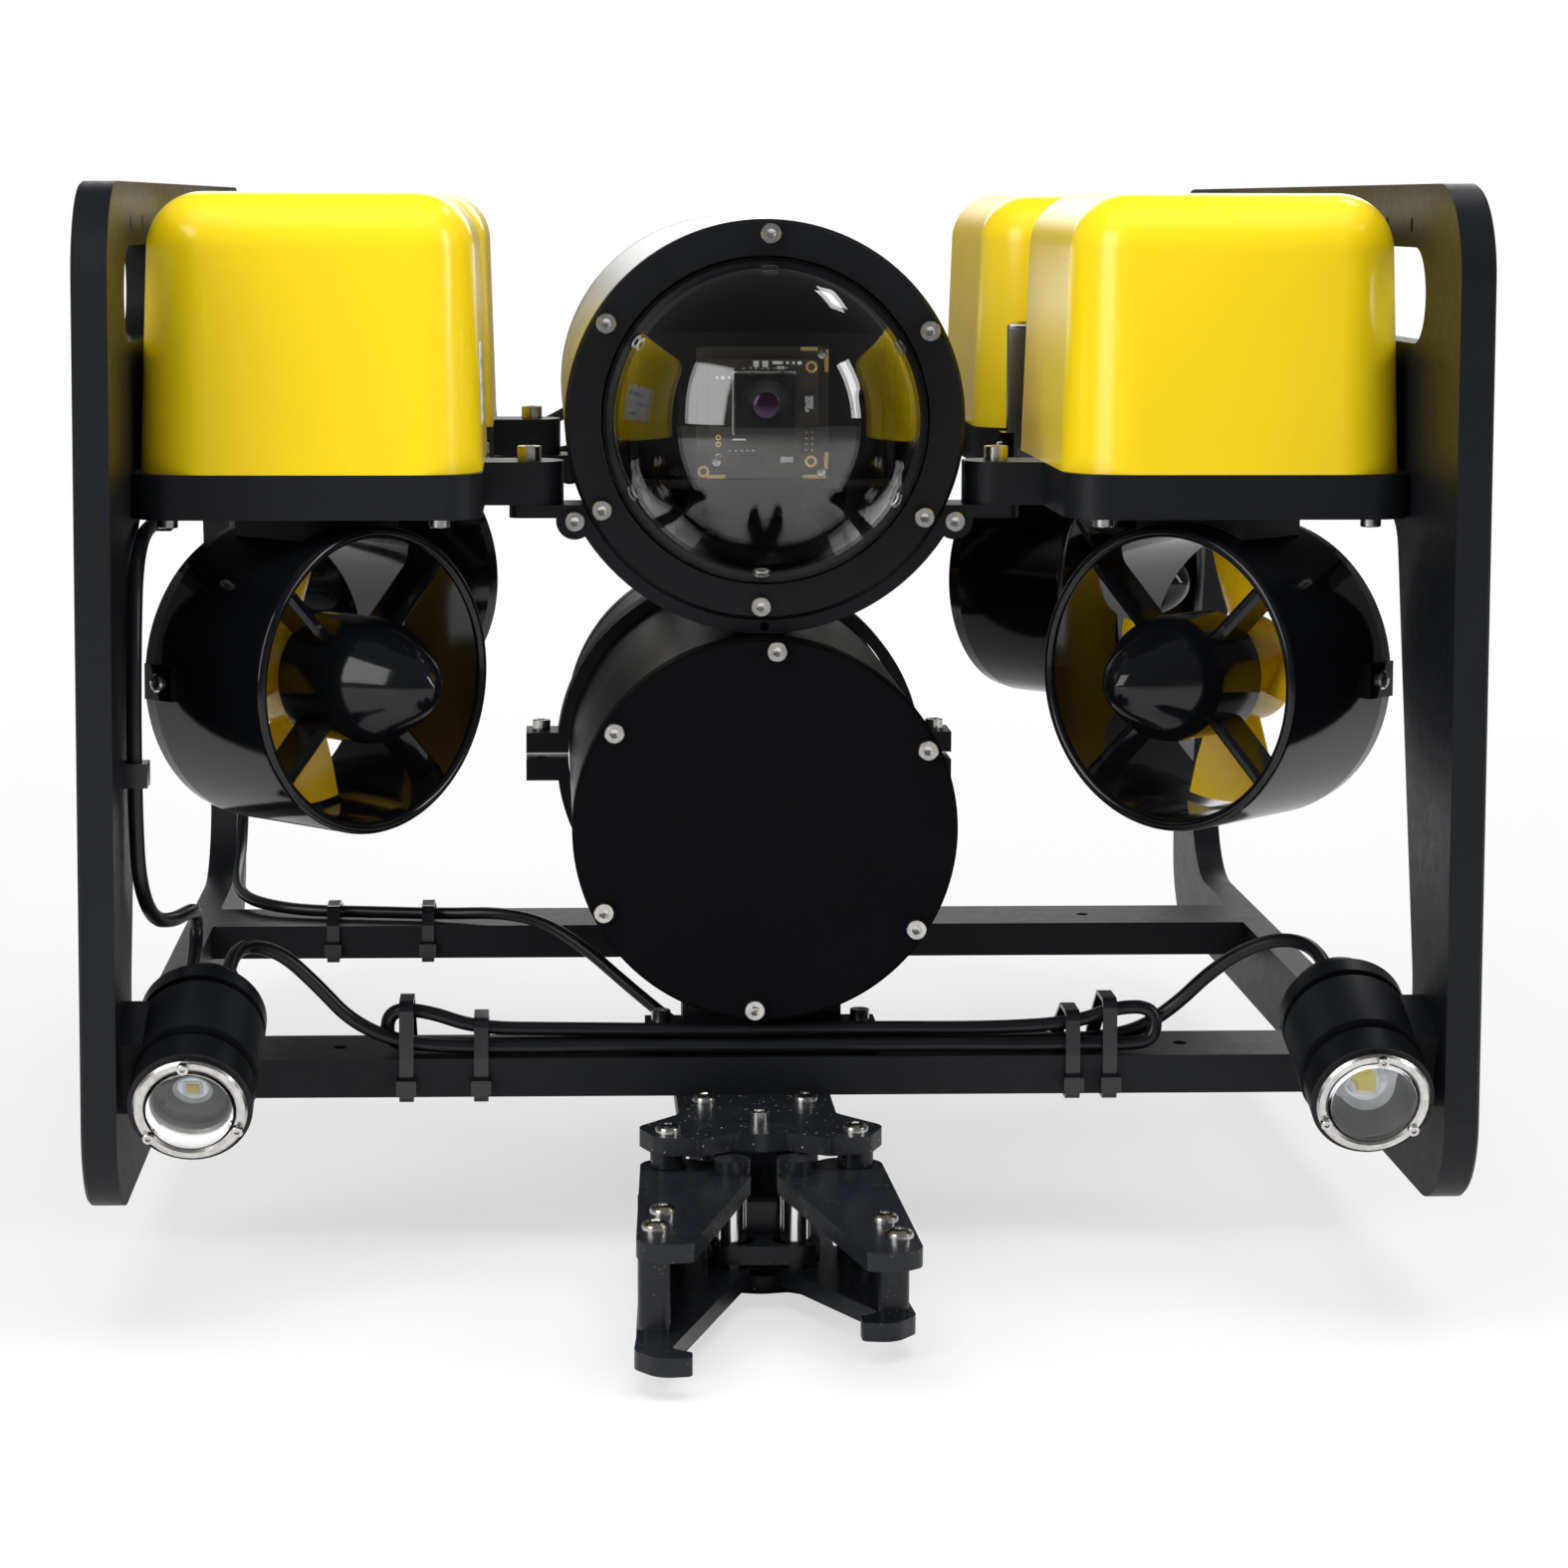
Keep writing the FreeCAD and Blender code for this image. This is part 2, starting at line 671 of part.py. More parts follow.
def duct():
    """A duct with a rounded inlet, four struts, the motor pod and its shaft; nose to +Z."""
    half, outer, inner = duct_length / 2, duct_radius, duct_radius - duct_wall
    lip = duct_wall / 2
    wall = Part.Wire([
        line(axial(-half, inner), axial(-half, outer - 1)),
        line(axial(-half, outer - 1), axial(-half + 6, outer)),
        line(axial(-half + 6, outer), axial(half - lip, outer)),
        Part.Arc(axial(half - lip, outer), axial(half, outer - lip),
                 axial(half - lip, outer - 2 * lip)).toShape(),
        line(axial(half - lip, inner), axial(-half, inner))])
    shell = Part.Face(wall).revolve(V(0, 0, 0), Z_AXIS, 360)
    tip = half + nose_length
    shoulder = half - 4
    curve = Part.BSplineCurve()
    curve.interpolate([axial(shoulder, pod_radius),
                       axial(shoulder + 0.52 * (tip - shoulder), pod_radius * 0.72), axial(tip, 0)],
                      InitialTangent=V(0, 0, 1), FinalTangent=V(-1, 0, 0.25))
    nose = Part.Wire([
        line(axial(pod_back, 0), axial(pod_back, pod_radius - 1)),
        line(axial(pod_back, pod_radius - 1), axial(pod_back + 1, pod_radius)),
        line(axial(pod_back + 1, pod_radius), axial(shoulder, pod_radius)),
        curve.toShape(),
        line(axial(tip, 0), axial(pod_back, 0))])
    pod = Part.Face(nose).revolve(V(0, 0, 0), Z_AXIS, 360)
    struts = []
    for i in range(strut_count):
        arm = flat_slab(rectangle(pod_radius - 3, inner + 1, -strut_thickness / 2,
                                  strut_thickness / 2, 0),
                        pod_back + 4, pod_back + 4 + strut_chord)
        long_edges = [e for e in arm.Edges if abs(e.Vertexes[0].Z - e.Vertexes[-1].Z) < 0.01
                      and abs(e.Vertexes[0].Y - e.Vertexes[-1].Y) < 0.01]
        arm = arm.makeChamfer(1.4, long_edges)
        arm.rotate(V(0, 0, 0), Z_AXIS, 360 / strut_count * (i + 0.5))
        struts.append(arm)
    shaft = rod(shaft_radius, V(0, 0, pod_back + 1), -Z_AXIS, pod_back + 1 - shaft_end)
    boss = box(-outer - 2.5, -inner - 1, -6, 6, -half + 4, -half + 18)
    return fuse(shell, pod, *struts, shaft, boss)


def blade_section(radius, chord):
    """A lens-shaped blade section in the plane at this radius."""
    angle = math.atan2(blade_pitch, 2 * math.pi * radius)
    half, thick = chord / 2, blade_thickness / 2
    middle = (pod_back + hub_back) / 2 - 1

    def point(along, across):
        return V(radius, along * math.cos(angle) - across * math.sin(angle),
                 middle + along * math.sin(angle) + across * math.cos(angle))
    lead, trail = point(half, 0), point(-half, 0)
    return Part.Wire([Part.Arc(lead, point(0, thick), trail).toShape(),
                      Part.Arc(trail, point(0, -thick), lead).toShape()])


def propeller():
    """Hub, tail cone and blades; the blade tips are turned to clear the duct."""
    inner, tip = duct_radius - duct_wall, duct_radius - duct_wall - blade_tip_gap
    radii = (hub_radius - 3, (hub_radius + tip) / 2, inner)
    sections = [blade_section(radius, chord) for radius, chord in zip(radii, blade_chords)]
    blade = Part.makeLoft(sections, True, True)
    blade = blade.common(rod(tip, V(0, 0, -60), Z_AXIS, 120))
    blades = []
    for i in range(blade_count):
        copy = blade.copy()
        copy.rotate(V(0, 0, 0), Z_AXIS, 360 / blade_count * i)
        blades.append(copy)
    profile = [(hub_back - 9, 0), (hub_back - 9, 5), (hub_back, hub_radius - 3),
               (hub_back + 3, hub_radius), (pod_back - seat_gap, hub_radius),
               (pod_back - seat_gap, 0)]
    hub = revolve(profile, V(0, 0, 0), Z_AXIS, X_AXIS)
    bore = rod(shaft_radius + running_gap, V(0, 0, shaft_end - seat_gap), Z_AXIS, 40)
    return fuse(hub, *blades).cut(bore)


def aim_level(shape, y, yaw):
    """Turn a thruster piece level, its nose forwards and yawed, at the left side."""
    shape = shape.copy()
    shape.rotate(V(0, 0, 0), X_AXIS, 90)
    shape.rotate(V(0, 0, 0), Z_AXIS, yaw)
    shape.translate(V(-thruster_x, y, thruster_height))
    return shape


def aim_up(shape):
    shape = shape.copy()
    shape.rotate(V(0, 0, 0), Z_AXIS, 180)
    shape.translate(V(-thruster_x, frame_length / 2, lift_thruster_height))
    return shape


def thruster_mounts():
    """A saddle block under each shelf and one on each side plate, hollowed to the ducts."""
    blocks = []
    for y, yaw in ((thruster_front, thruster_yaw), (thruster_rear, -thruster_yaw)):
        block = box(-mount_length / 2, mount_length / 2, -mount_width / 2, mount_width / 2, 40,
                    shelf_bottom - thruster_height)
        block = block.cut(rod(duct_radius + seat_gap, V(0, -50, 0), Y_AXIS, 100))
        block.rotate(V(0, 0, 0), Z_AXIS, yaw)
        block.translate(V(-thruster_x, y, thruster_height))
        blocks.append(block)
    centre = V(-thruster_x, frame_length / 2, lift_thruster_height)
    side = box(-plate_inner, -thruster_x - 40, centre.y - mount_length / 2, centre.y + mount_length / 2,
               centre.z - mount_width / 2, centre.z + mount_width / 2)
    blocks.append(side.cut(rod(duct_radius + seat_gap, centre - Z_AXIS * 50, Z_AXIS, 100)))
    return blocks + [mirror_x(block) for block in blocks]


# ------------------------------------------------------------------ lamps

def lamp_body():
    """The turned housing: front flange, barrel, rear ring and end cap, with the lens bore."""
    profile = [(0, 0), (0, lamp_flange_radius), (flange_length, lamp_flange_radius),
               (flange_length + 1.5, lamp_barrel_radius), (rear_ring_start, lamp_barrel_radius),
               (rear_ring_start, lamp_flange_radius + 1),
               (rear_ring_start + rear_ring_length - 2, lamp_flange_radius + 1),
               (rear_ring_start + rear_ring_length, lamp_flange_radius - 1),
               (rear_ring_start + rear_ring_length, lamp_barrel_radius - 1),
               (lamp_length - 3, lamp_barrel_radius - 2), (lamp_length, lamp_barrel_radius - 6),
               (lamp_length, 0)]
    body = revolve(profile, lamp_front, lamp_back, lamp_side)
    well = revolve([(-1, 0), (-1, lens_radius), (2, lens_radius), (2, 12.5), (11, 6.0), (11, 0)],
                   lamp_front, lamp_back, lamp_side)
    return body.cut(well)


def lamp_bezel():
    """The metal ring round the lens, with its three posts."""
    outer = revolve([(-bezel_length, lens_radius + seat_gap), (-bezel_length, bezel_radius - 0.8),
                     (-bezel_length + 0.8, bezel_radius), (0, bezel_radius),
                     (0, lens_radius + seat_gap)], lamp_front, lamp_back, lamp_side)
    face = lamp_front - lamp_back * bezel_length
    up = lamp_back.cross(lamp_side)
    posts = []
    for turn in bezel_post_turns:
        a = math.radians(turn)
        outwards = lamp_side * math.cos(a) + up * math.sin(a)
        posts.append(rod(bezel_post_radius, face + outwards * (bezel_radius - bezel_post_radius),
                         -lamp_back, bezel_post_height))
    return [outer] + posts


def lamp_lens():
    radius = lens_radius - seat_gap
    crown = -bezel_length - lens_crown
    return revolve([(2, 0), (2, radius), (-bezel_length, radius),
                    (-bezel_length - lens_crown * 0.6, radius * 0.8), (crown, radius * 0.4),
                    (crown, 0)], lamp_front, lamp_back, lamp_side)


def lamp_bracket():
    """A block on the side plate with a round seat and a band over the lamp's barrel."""
    start, end = flange_length + 4, rear_ring_start - 3
    base = lamp_front + lamp_back * start
    length = end - start
    seat = lamp_barrel_radius + seat_gap
    band = rod(seat + 3, base, lamp_back, length)
    block = Part.makeBox(plate_inner - lamp_x, 26, length, V(-plate_inner + lamp_x, -13, 0))
    block.rotate(V(0, 0, 0), X_AXIS, lamp_tilt - 90)
    block.translate(base)
    return fuse(band, block).cut(rod(seat, base - lamp_back, lamp_back, length + 2))


# ------------------------------------------------------------------ gripper

def grip_outline(back):
    """A gripper plate: a dip between two lobes at the pivots, and a narrower root."""
    right = [(9, pivot_y - 2, 3), (22, pivot_y - 10, 4), (36, pivot_y - 7, 5),
             (42, pivot_y + 8, 7), (27, pivot_y + 26, 6), (27, back, 3)]
    left = [(-u, v, radius) for u, v, radius in reversed(right)]
    return [left[-1], (0, pivot_y - 4, 12)] + right + left[:-1]


def gripper_plates():
    """The fixed frame: two plates, rear posts and the sleeved pivot pins of the jaws."""
    top = flat_slab(grip_outline(front_beam_start + beam_depth - 4), grip_top - grip_plate, grip_top)
    bottom = flat_slab(grip_outline(actuator_start + actuator_flange), grip_bottom - grip_plate,
                       grip_bottom)
    gap = grip_top - grip_plate - grip_bottom
    posts = [rod(post_radius, V(s * post_x, post_y, grip_bottom), Z_AXIS, gap) for s in (-1, 1)]
    pins = []
    for s in (-1, 1):
        pivot = V(s * pivot_x, pivot_y, 0)
        pins.append(rod(pivot_radius, pivot + Z_AXIS * grip_bottom, Z_AXIS, gap))
        pins.append(rod(sleeve_radius, pivot + Z_AXIS * (jaw_top + seat_gap), Z_AXIS,
                        grip_top_gap - seat_gap))
        pins.append(rod(sleeve_radius, pivot + Z_AXIS * (jaw_bottom + grip_plate + seat_gap), Z_AXIS,
                        jaw_opening - 2 * seat_gap))
    return fuse(top, bottom, *posts, *pins)


def button_head(place):
    """The low domed head of a button screw."""
    head = rod(button_radius, place, Z_AXIS, button_height)
    return head.makeFillet(button_dome, [e for e in head.Edges
                                         if e.BoundBox.ZMin > place.z + button_height - 0.01])


def gripper_screws():
    places = [V(s * post_x, post_y - 4.6, grip_top) for s in (-1, 1)]
    places += [V(s * pivot_x, pivot_y, grip_top) for s in (-1, 1)]
    heads = [button_head(p) for p in places]
    heads.append(rod(M4[1], V(0, pivot_y + 14, grip_top), Z_AXIS, M4[2]))
    return heads


def gripper_actuator():
    """The sealed drive: a flange between the plates, a nose boss and the cylinder."""
    start = V(0, actuator_start, rod_height)
    flange = box(-22, 22, actuator_start, actuator_start + actuator_flange, grip_bottom,
                 grip_top - grip_plate)
    nose = rod(11.5, start - Y_AXIS * 13, Y_AXIS, 14)
    body = rod(actuator_radius, start, Y_AXIS, actuator_length)
    body = body.makeFillet(5, [e for e in body.Edges if e.BoundBox.YMin > actuator_start + 50])
    groove = ring(actuator_radius + 1, actuator_radius - 1.5, start + Y_AXIS * 24, Y_AXIS, 4)
    whole = fuse(flange, nose, body).cut(groove)
    return whole.cut(rod(rod_radius + running_gap, start - Y_AXIS * 14, Y_AXIS, 80))


def jaw_outline(tip, hook, pocket):
    """The right jaw's plate; with a hook, its end curls inwards in front of the pocket."""
    inner = [(4.4, link_y + 4, 5), (4.4, link_y - 4, 5)]
    back = [(40.5, pivot_y + 10, 9), (24, pivot_y + 10, 7)]
    outer = 44.5
    if hook:
        end = [(33.7, pocket, 2.5), (27.5, pocket - 4.5, 1.5), (27.5, tip + 1, 2.2), (38, tip - 0.5, 8),
               (outer + 1, tip + 9, 6), (outer, tip + 22, 6)]
    else:
        end = [(26.5, tip + 3, 3), (36, tip, 12), (outer, tip + 7, 6)]
    return inner + end + back


def jaw(upper_tip, hook_tip, pocket, wall_front):
    """The right jaw: upper plate, hooked lower plate, the wall between and its link sleeve."""
    upper = flat_slab(jaw_outline(upper_tip, False, 0), jaw_top - grip_plate, jaw_top)
    lower = flat_slab(jaw_outline(hook_tip, True, pocket), jaw_bottom, jaw_bottom + grip_plate)
    pivot = V(pivot_x, pivot_y, jaw_bottom - 1)
    bore = rod(pivot_radius + running_gap, pivot, Z_AXIS, jaw_top - jaw_bottom + 2)
    wall = flat_slab([(33.5, wall_front, 2), (43.8, wall_front + 3, 4), (42, pivot_y - 12, 3),
                      (35.5, pivot_y - 12, 3)], jaw_bottom + grip_plate, jaw_top - grip_plate)
    sleeve = rod(sleeve_radius, V(link_x, link_y, jaw_top), Z_AXIS, grip_top_gap - 0.5)
    screws = [button_head(V(35, upper_tip + 38, jaw_top)),
              button_head(V(38, upper_tip + 19, jaw_top))]
    return [upper.cut(bore), lower.cut(bore), wall, sleeve] + screws


def link_pin():
    return rod(link_radius, V(link_x, link_y, jaw_bottom + grip_plate), Z_AXIS, jaw_opening)


def pin_inset():
    """How far a link pin comes inwards as its jaw closes."""
    a = math.radians(jaw_close)
    dx, dy = pivot_x - link_x, pivot_y - link_y
    return dx * (math.cos(a) - 1) + dy * math.sin(a)


def push_rod():
    """The drive rod and its yoke, slotted for the jaws' link pins."""
    top = jaw_bottom + grip_plate + yoke_drop + yoke_thickness - 2
    low = top - yoke_thickness
    reach = link_x + link_radius + yoke_wall
    depth = link_radius + yoke_wall
    yoke = flat_slab(rectangle(-reach, reach, link_y - depth, link_y + depth, 7), low, top)
    slot_half = link_radius + seat_gap
    for s in (-1, 1):
        outer = s * (link_x + slot_half)
        inner = s * (link_x - pin_inset() - slot_half)
        slot = flat_slab(rectangle(min(outer, inner), max(outer, inner), link_y - slot_half,
                                   link_y + slot_half, slot_half - 0.05), low - 1, top + 1)
        yoke = yoke.cut(slot)
    neck = box(-5, 5, link_y + link_radius + 1.5, link_y + link_radius + 14, low,
               rod_height + rod_radius)
    bar = rod(rod_radius, V(0, link_y + link_radius + 6, rod_height), Y_AXIS, 108)
    return fuse(yoke, neck, bar)


# ------------------------------------------------------------------ cables

def points(*rows):
    return [V(*row) for row in rows]


def gland(at, outward, radius=gland_radius):
    """A hexagonal gland with a round nose, bored for its cable."""
    side = V(0, 0, 1) if abs(outward.z) < 0.9 else X_AXIS
    side = (side - outward * side.dot(outward)).normalize()
    across = outward.cross(side)
    corners = [at + (side * math.cos(math.radians(60 * i)) + across * math.sin(math.radians(60 * i)))
               * radius for i in range(6)]
    nut = Part.Face(Part.makePolygon(corners + corners[:1])).extrude(outward * 6)
    nose = rod(radius - 2.2, at + outward * 5, outward, gland_length - 5)
    return fuse(nut, nose)


supply_route = points(
    (-40, 439, 251.7), (-40, 456, 251.7), (-53, 472, 244), (-74, 480, 231), (-97, 483.5, 221),
    (-128, 484.5, 217), (-164, 484, 217.6), (-190, 483, 217.2), (-205, 475, 217.3),
    (-210.3, 456, 217.4), (-210.6, 420, 217.6), (-210.2, 366, 217.2), (-210.6, 310, 217.6),
    (-210.2, 256, 217.0), (-210.5, 200, 217.4), (-210.2, 146, 217.6), (-210.5, 100, 217.3),
    (-210.4, 70, 216.4), (-210.5, 48, 207.5), (-210.2, 38, 188), (-210.4, 35.4, 158),
    (-210.2, 36.2, 124), (-209.4, 38.5, 104), (-206.5, 50, 90.5), (-202, 66, 86.8),
    (-198, 80, 86.9), (-196.2, 91, 86), (-196.2, 95.5, 79), (-196.2, 90.4, 71.9),
    (-196.2, 75.18, 66.36))

link_route = points(
    (-183.8, 75.18, 66.36), (-183.8, 86.5, 70.5), (-179, 98.5, 72.5), (-168, 108, 67.5),
    (-156, 112.5, 55), (-144, 114, 41.5), (-126, 113.2, 34), (-98, 112.9, 32.6),
    (-52, 112.6, 33.1), (5, 112.9, 32.5), (58, 112.6, 33), (94, 113, 32.5), (114, 112.8, 32.9),
    (126, 113.1, 32.6), (137.5, 113.8, 33.6), (138, 115.2, 45.2), (124.5, 115.9, 45.3),
    (110, 116.3, 39.6), (82, 116.1, 37.9), (34, 116.4, 38.2), (-22, 116.1, 37.7),
    (-72, 116.5, 38.3), (-101, 116.2, 38.9), (-118, 117, 44.9), (-131.5, 118.6, 45.2),
    (-132.3, 119.3, 33.4), (-121, 119.6, 32.7), (-103, 119.3, 32.5), (-72, 119.5, 32.9),
    (-22, 119.2, 32.5), (34, 119.4, 32.9), (82, 119.3, 32.6), (112, 120.4, 32.5),
    (132, 121.6, 35), (146, 120, 45), (157, 114, 58), (169, 107, 68), (181, 99, 73),
    (190, 87.4, 70.81), (190, 75.18, 66.36))

grip_route = points(
    (-4, 259, -11.3), (-4, 273, -11.3), (-11.5, 290, -7.5), (-27, 306, 0.5), (-44, 321, 12),
    (-60, 334, 24), (-77, 346, 33), (-95, 358, 34.6), (-118, 366, 32.6), (-152, 371, 32.7),
    (-178, 375, 32.6), (-197, 385, 34), (-206, 406, 34.5), (-209.6, 436, 35.5),
    (-210.2, 464, 42), (-210.5, 482, 58), (-210.4, 490, 84), (-210.6, 491.5, 122),
    (-210.4, 490.6, 160), (-209.8, 490.4, 188), (-205, 490.8, 205), (-190, 491, 212.5),
    (-160, 491.2, 213), (-126, 490.8, 211.8), (-98, 489.5, 212.6), (-74, 484, 216),
    (-55, 473, 221.5), (-42, 456, 226), (-42, 439, 226))


def cable_glands():
    """Glands at both ends of each lead, the tether's gland and the spare ones on the caps."""
    cap_back = upper_tube_end + upper_cap_thickness
    glands = [gland(V(0, cap_back, upper_axis_height + tether_gland_rise), Y_AXIS,
                    tether_gland_radius)]
    for x, rise in spare_glands:
        for side in (-1, 1):
            glands.append(gland(V(side * x, cap_back, upper_axis_height + rise), Y_AXIS))
    for x in (-24, 24):
        glands.append(gland(V(x, lower_tube_end + lower_cap_thickness, lower_axis_height), Y_AXIS))
    for x in (-lamp_x - twin_gland_offset, -lamp_x + twin_gland_offset, lamp_x):
        glands.append(gland(V(x, lamp_gland.y, lamp_gland.z), lamp_back, small_gland_radius))
    glands.append(gland(V(gripper_x, actuator_start + actuator_length, rod_height), Y_AXIS))
    return glands


def beam_tie(x, beam_start, top):
    """A tie round a cross beam and the leads on it, with its buckle in front."""
    y0, y1 = beam_start - seat_gap, beam_start + beam_depth + seat_gap
    low, beam_top = beam_bottom - seat_gap, skid_height + seat_gap
    inner = outline([(y0, low, 0.5), (y1, low, 0.5), (y1, beam_top, 0.5), (y0 + 15.5, top, 2),
                     (y0 + 1.0, top, 2), (y0, beam_top, 0.5)], lambda u, v: V(x, u, v))
    inner = Part.Face(inner)
    outer = inner.makeOffset2D(tie_thickness)
    band = outer.cut(inner).extrude(V(tie_width, 0, 0))
    buckle = box(x - 1, x + tie_width + 1, y0 - tie_thickness - 3.5, y0 - 0.4, low + 2, low + 7)
    band = fuse(band, buckle)
    band.translate(V(-tie_width / 2, 0, 0))
    return band


def lead_clip(route, leg, top=None):
    """A saddle clip on the left side plate or a shelf, midway along one leg of a lead."""
    start, end = route[leg], route[leg + 1]
    middle, along = (start + end) / 2, (end - start).normalize()
    near, far = sorted((-plate_inner, middle.x + cable_radius + 2))
    block = box(near, far, middle.y - 5, middle.y + 5, middle.z - 4, top or middle.z + 4)
    return block.cut(rod(cable_radius + 0.15, middle - along * 20, along, 40))


def cable_ties():
    """The ties on both cross beams, and the clips on the shelf and the side plate."""
    front = [beam_tie(x, front_beam_start, top) for x, top in front_ties]
    rear = [beam_tie(x, rear_beam_start, top) for x, top in rear_ties]
    upper = [lead_clip(supply_route, 10, shelf_bottom), lead_clip(supply_route, 13, window_top + 6),
             lead_clip(supply_route, 15, shelf_bottom)]
    return front + rear + upper + [lead_clip(supply_route, 20), lead_clip(grip_route, 17)]


# ------------------------------------------------------------------ fasteners

def plate_screws():
    """M5 screws sunk into the right side plate, two to each shelf and each beam end."""
    places = []
    for y in (shelf_start + 35, shelf_start + shelf_length - 35):
        for side_y in (y, frame_length - y):
            places.append((side_y, (shelf_bottom + shelf_top) / 2))
    for start in (front_beam_start, rear_beam_start):
        for y in (start + 9, start + beam_depth - 9):
            places.append((y, (beam_bottom + skid_height) / 2))
    return [V(half_width - M5[2] - 0.3, y, z) for y, z in places]


def sunk_hole(place):
    return rod(M5[1] + screw_gap, place, X_AXIS, 20)


def all_screws():
    """Every screw of the fixed frame, as one piece each."""
    screws = []
    for place in circle_places(6, flange_screw_circle, flange_screw_turn, flange_front,
                               upper_axis_height):
        screws.append(cap_screw(M4, place, -Y_AXIS, flange_thickness - 2))
    for place in circle_places(6, cap_screw_circle, cap_screw_turn, lower_cap_front,
                               lower_axis_height):
        screws.append(cap_screw(M4, place, -Y_AXIS, lower_cap_thickness - 2))
    for head_at, outward, size, grip in shelf_screws():
        screw = cap_screw(size, head_at, outward, grip - 1)
        screws += four_corners(screw).values()
    for head_at, outward, size, grip in clamp_screws():
        screws.append(cap_screw(size, head_at, outward, grip))
    for head_at, outward, size, grip in saddle_screws():
        screw = cap_screw(size, head_at, outward, grip)
        screws += [screw, mirror_y(screw)]
    for start in (front_cradle, rear_cradle):
        for head_at, outward, size, grip in cradle_screws(start):
            screws.append(cap_screw(size, head_at, outward, grip))
    heads = [rod(M5[1], place, X_AXIS, M5[2]) for place in plate_screws()]
    screws += heads + [mirror_x(head) for head in heads]
    for head in gripper_screws():
        screws.append(head.translated(V(gripper_x, 0, 0)))
    return screws


# ------------------------------------------------------------------ the whole vehicle

def save_frame():
    right_plate = side_plate().cut([sunk_hole(place) for place in plate_screws()])
    save("side_plate_right", right_plate)
    save("side_plate_left", mirror_x(right_plate))
    for name, start, cradle in (("front_beam", front_beam_start, front_cradle),
                                ("rear_beam", rear_beam_start, rear_cradle)):
        beam = cross_beam(start)
        for head_at, outward, size, grip in cradle_screws(cradle):
            beam = beam.cut(screw_hole(size, head_at, outward, grip))
        save(name, beam)
    for corner, shape in four_corners(shelf()).items():
        save("shelf_" + corner, shape)
    for corner, shape in four_corners(buoyancy_float()).items():
        save("float_" + corner, shape)


def save_housings():
    upper_bore, lower_bore = upper_radius - upper_wall, lower_radius - lower_wall
    tube_start = V(0, flange_back, upper_axis_height)
    save("electronics_tube", ring(upper_radius, upper_bore, tube_start, Y_AXIS,
                                  upper_tube_end - flange_back))
    save("dome_flange", dome_flange())
    save("camera_dome", camera_dome())
    save("electronics_rear_cap", end_cap(upper_radius, upper_bore, upper_tube_end,
                                         upper_axis_height, upper_cap_thickness))
    save("electronics_tray", electronics_tray())
    save("camera_board", *camera_boards())
    save("camera_lens", camera_lens())
    saddle = housing_saddle()
    save("electronics_saddles", saddle, mirror_y(saddle))
    tube_start = V(0, lower_cap_back, lower_axis_height)
    save("battery_tube", ring(lower_radius, lower_bore, tube_start, Y_AXIS,
                              lower_tube_end - lower_cap_back))
    save("battery_front_cap", battery_front_cap())
    save("battery_rear_cap", end_cap(lower_cap_radius, lower_bore, lower_tube_end,
                                     lower_axis_height, lower_cap_thickness))
    save("battery_pack", battery_pack())
    save("battery_clamp", *battery_clamp())
    cradles = []
    for start in (front_cradle, rear_cradle):
        cradle = battery_cradle(start)
        for head_at, outward, size, grip in cradle_screws(start):
            cradle = cradle.cut(screw_hole(size, head_at, outward, grip))
        cradles.append(cradle)
    save("battery_saddles", *cradles)


def save_thrusters():
    places = {"front": lambda s: aim_level(s, thruster_front, thruster_yaw),
              "rear": lambda s: aim_level(s, thruster_rear, -thruster_yaw),
              "lift": aim_up}
    for name, shape in (("thruster_duct_", duct()), ("propeller_", propeller())):
        for place, aim in places.items():
            left = aim(shape)
            save(name + place + "_left", left)
            save(name + place + "_right", mirror_x(left))
    save("thruster_mounts", *thruster_mounts())


def save_lamps():
    pieces = {"light_body": [lamp_body()], "light_bezel": lamp_bezel(), "light_lens": [lamp_lens()],
              "light_bracket": [lamp_bracket()]}
    for name, solids in pieces.items():
        save(name + "_left", *solids)
        save(name + "_right", *[mirror_x(solid) for solid in solids])


def save_gripper():
    shift = V(gripper_x, 0, 0)
    right = jaw(*right_jaw)
    left = [mirror_x(solid) for solid in jaw(*left_jaw)]
    pieces = {"gripper_plates": [gripper_plates()], "gripper_actuator": [gripper_actuator()],
              "jaw_right": right, "jaw_left": left, "jaw_pin_right": [link_pin()],
              "jaw_pin_left": [mirror_x(link_pin())], "push_rod": [push_rod()]}
    for name, solids in pieces.items():
        save(name, *[solid.translated(shift) for solid in solids])


def save_harness():
    save("supply_cable", tube_along(supply_route, cable_radius))
    save("link_cable", tube_along(link_route, cable_radius))
    save("grip_cable", tube_along(grip_route, cable_radius))
    save("cable_ties", *cable_ties())
    save("cable_glands", *cable_glands())
    save("cap_screws", *all_screws())


save_frame()
save_housings()
save_thrusters()
save_lamps()
save_gripper()
save_harness()
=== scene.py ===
"""Looks of the underwater inspection vehicle: finishes, screws, leads, lamp optics and the camera
behind its dome. Metres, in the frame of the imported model: -Y forwards, +X right, +Z up."""
import bpy
import math
from mathutils import Matrix, Vector

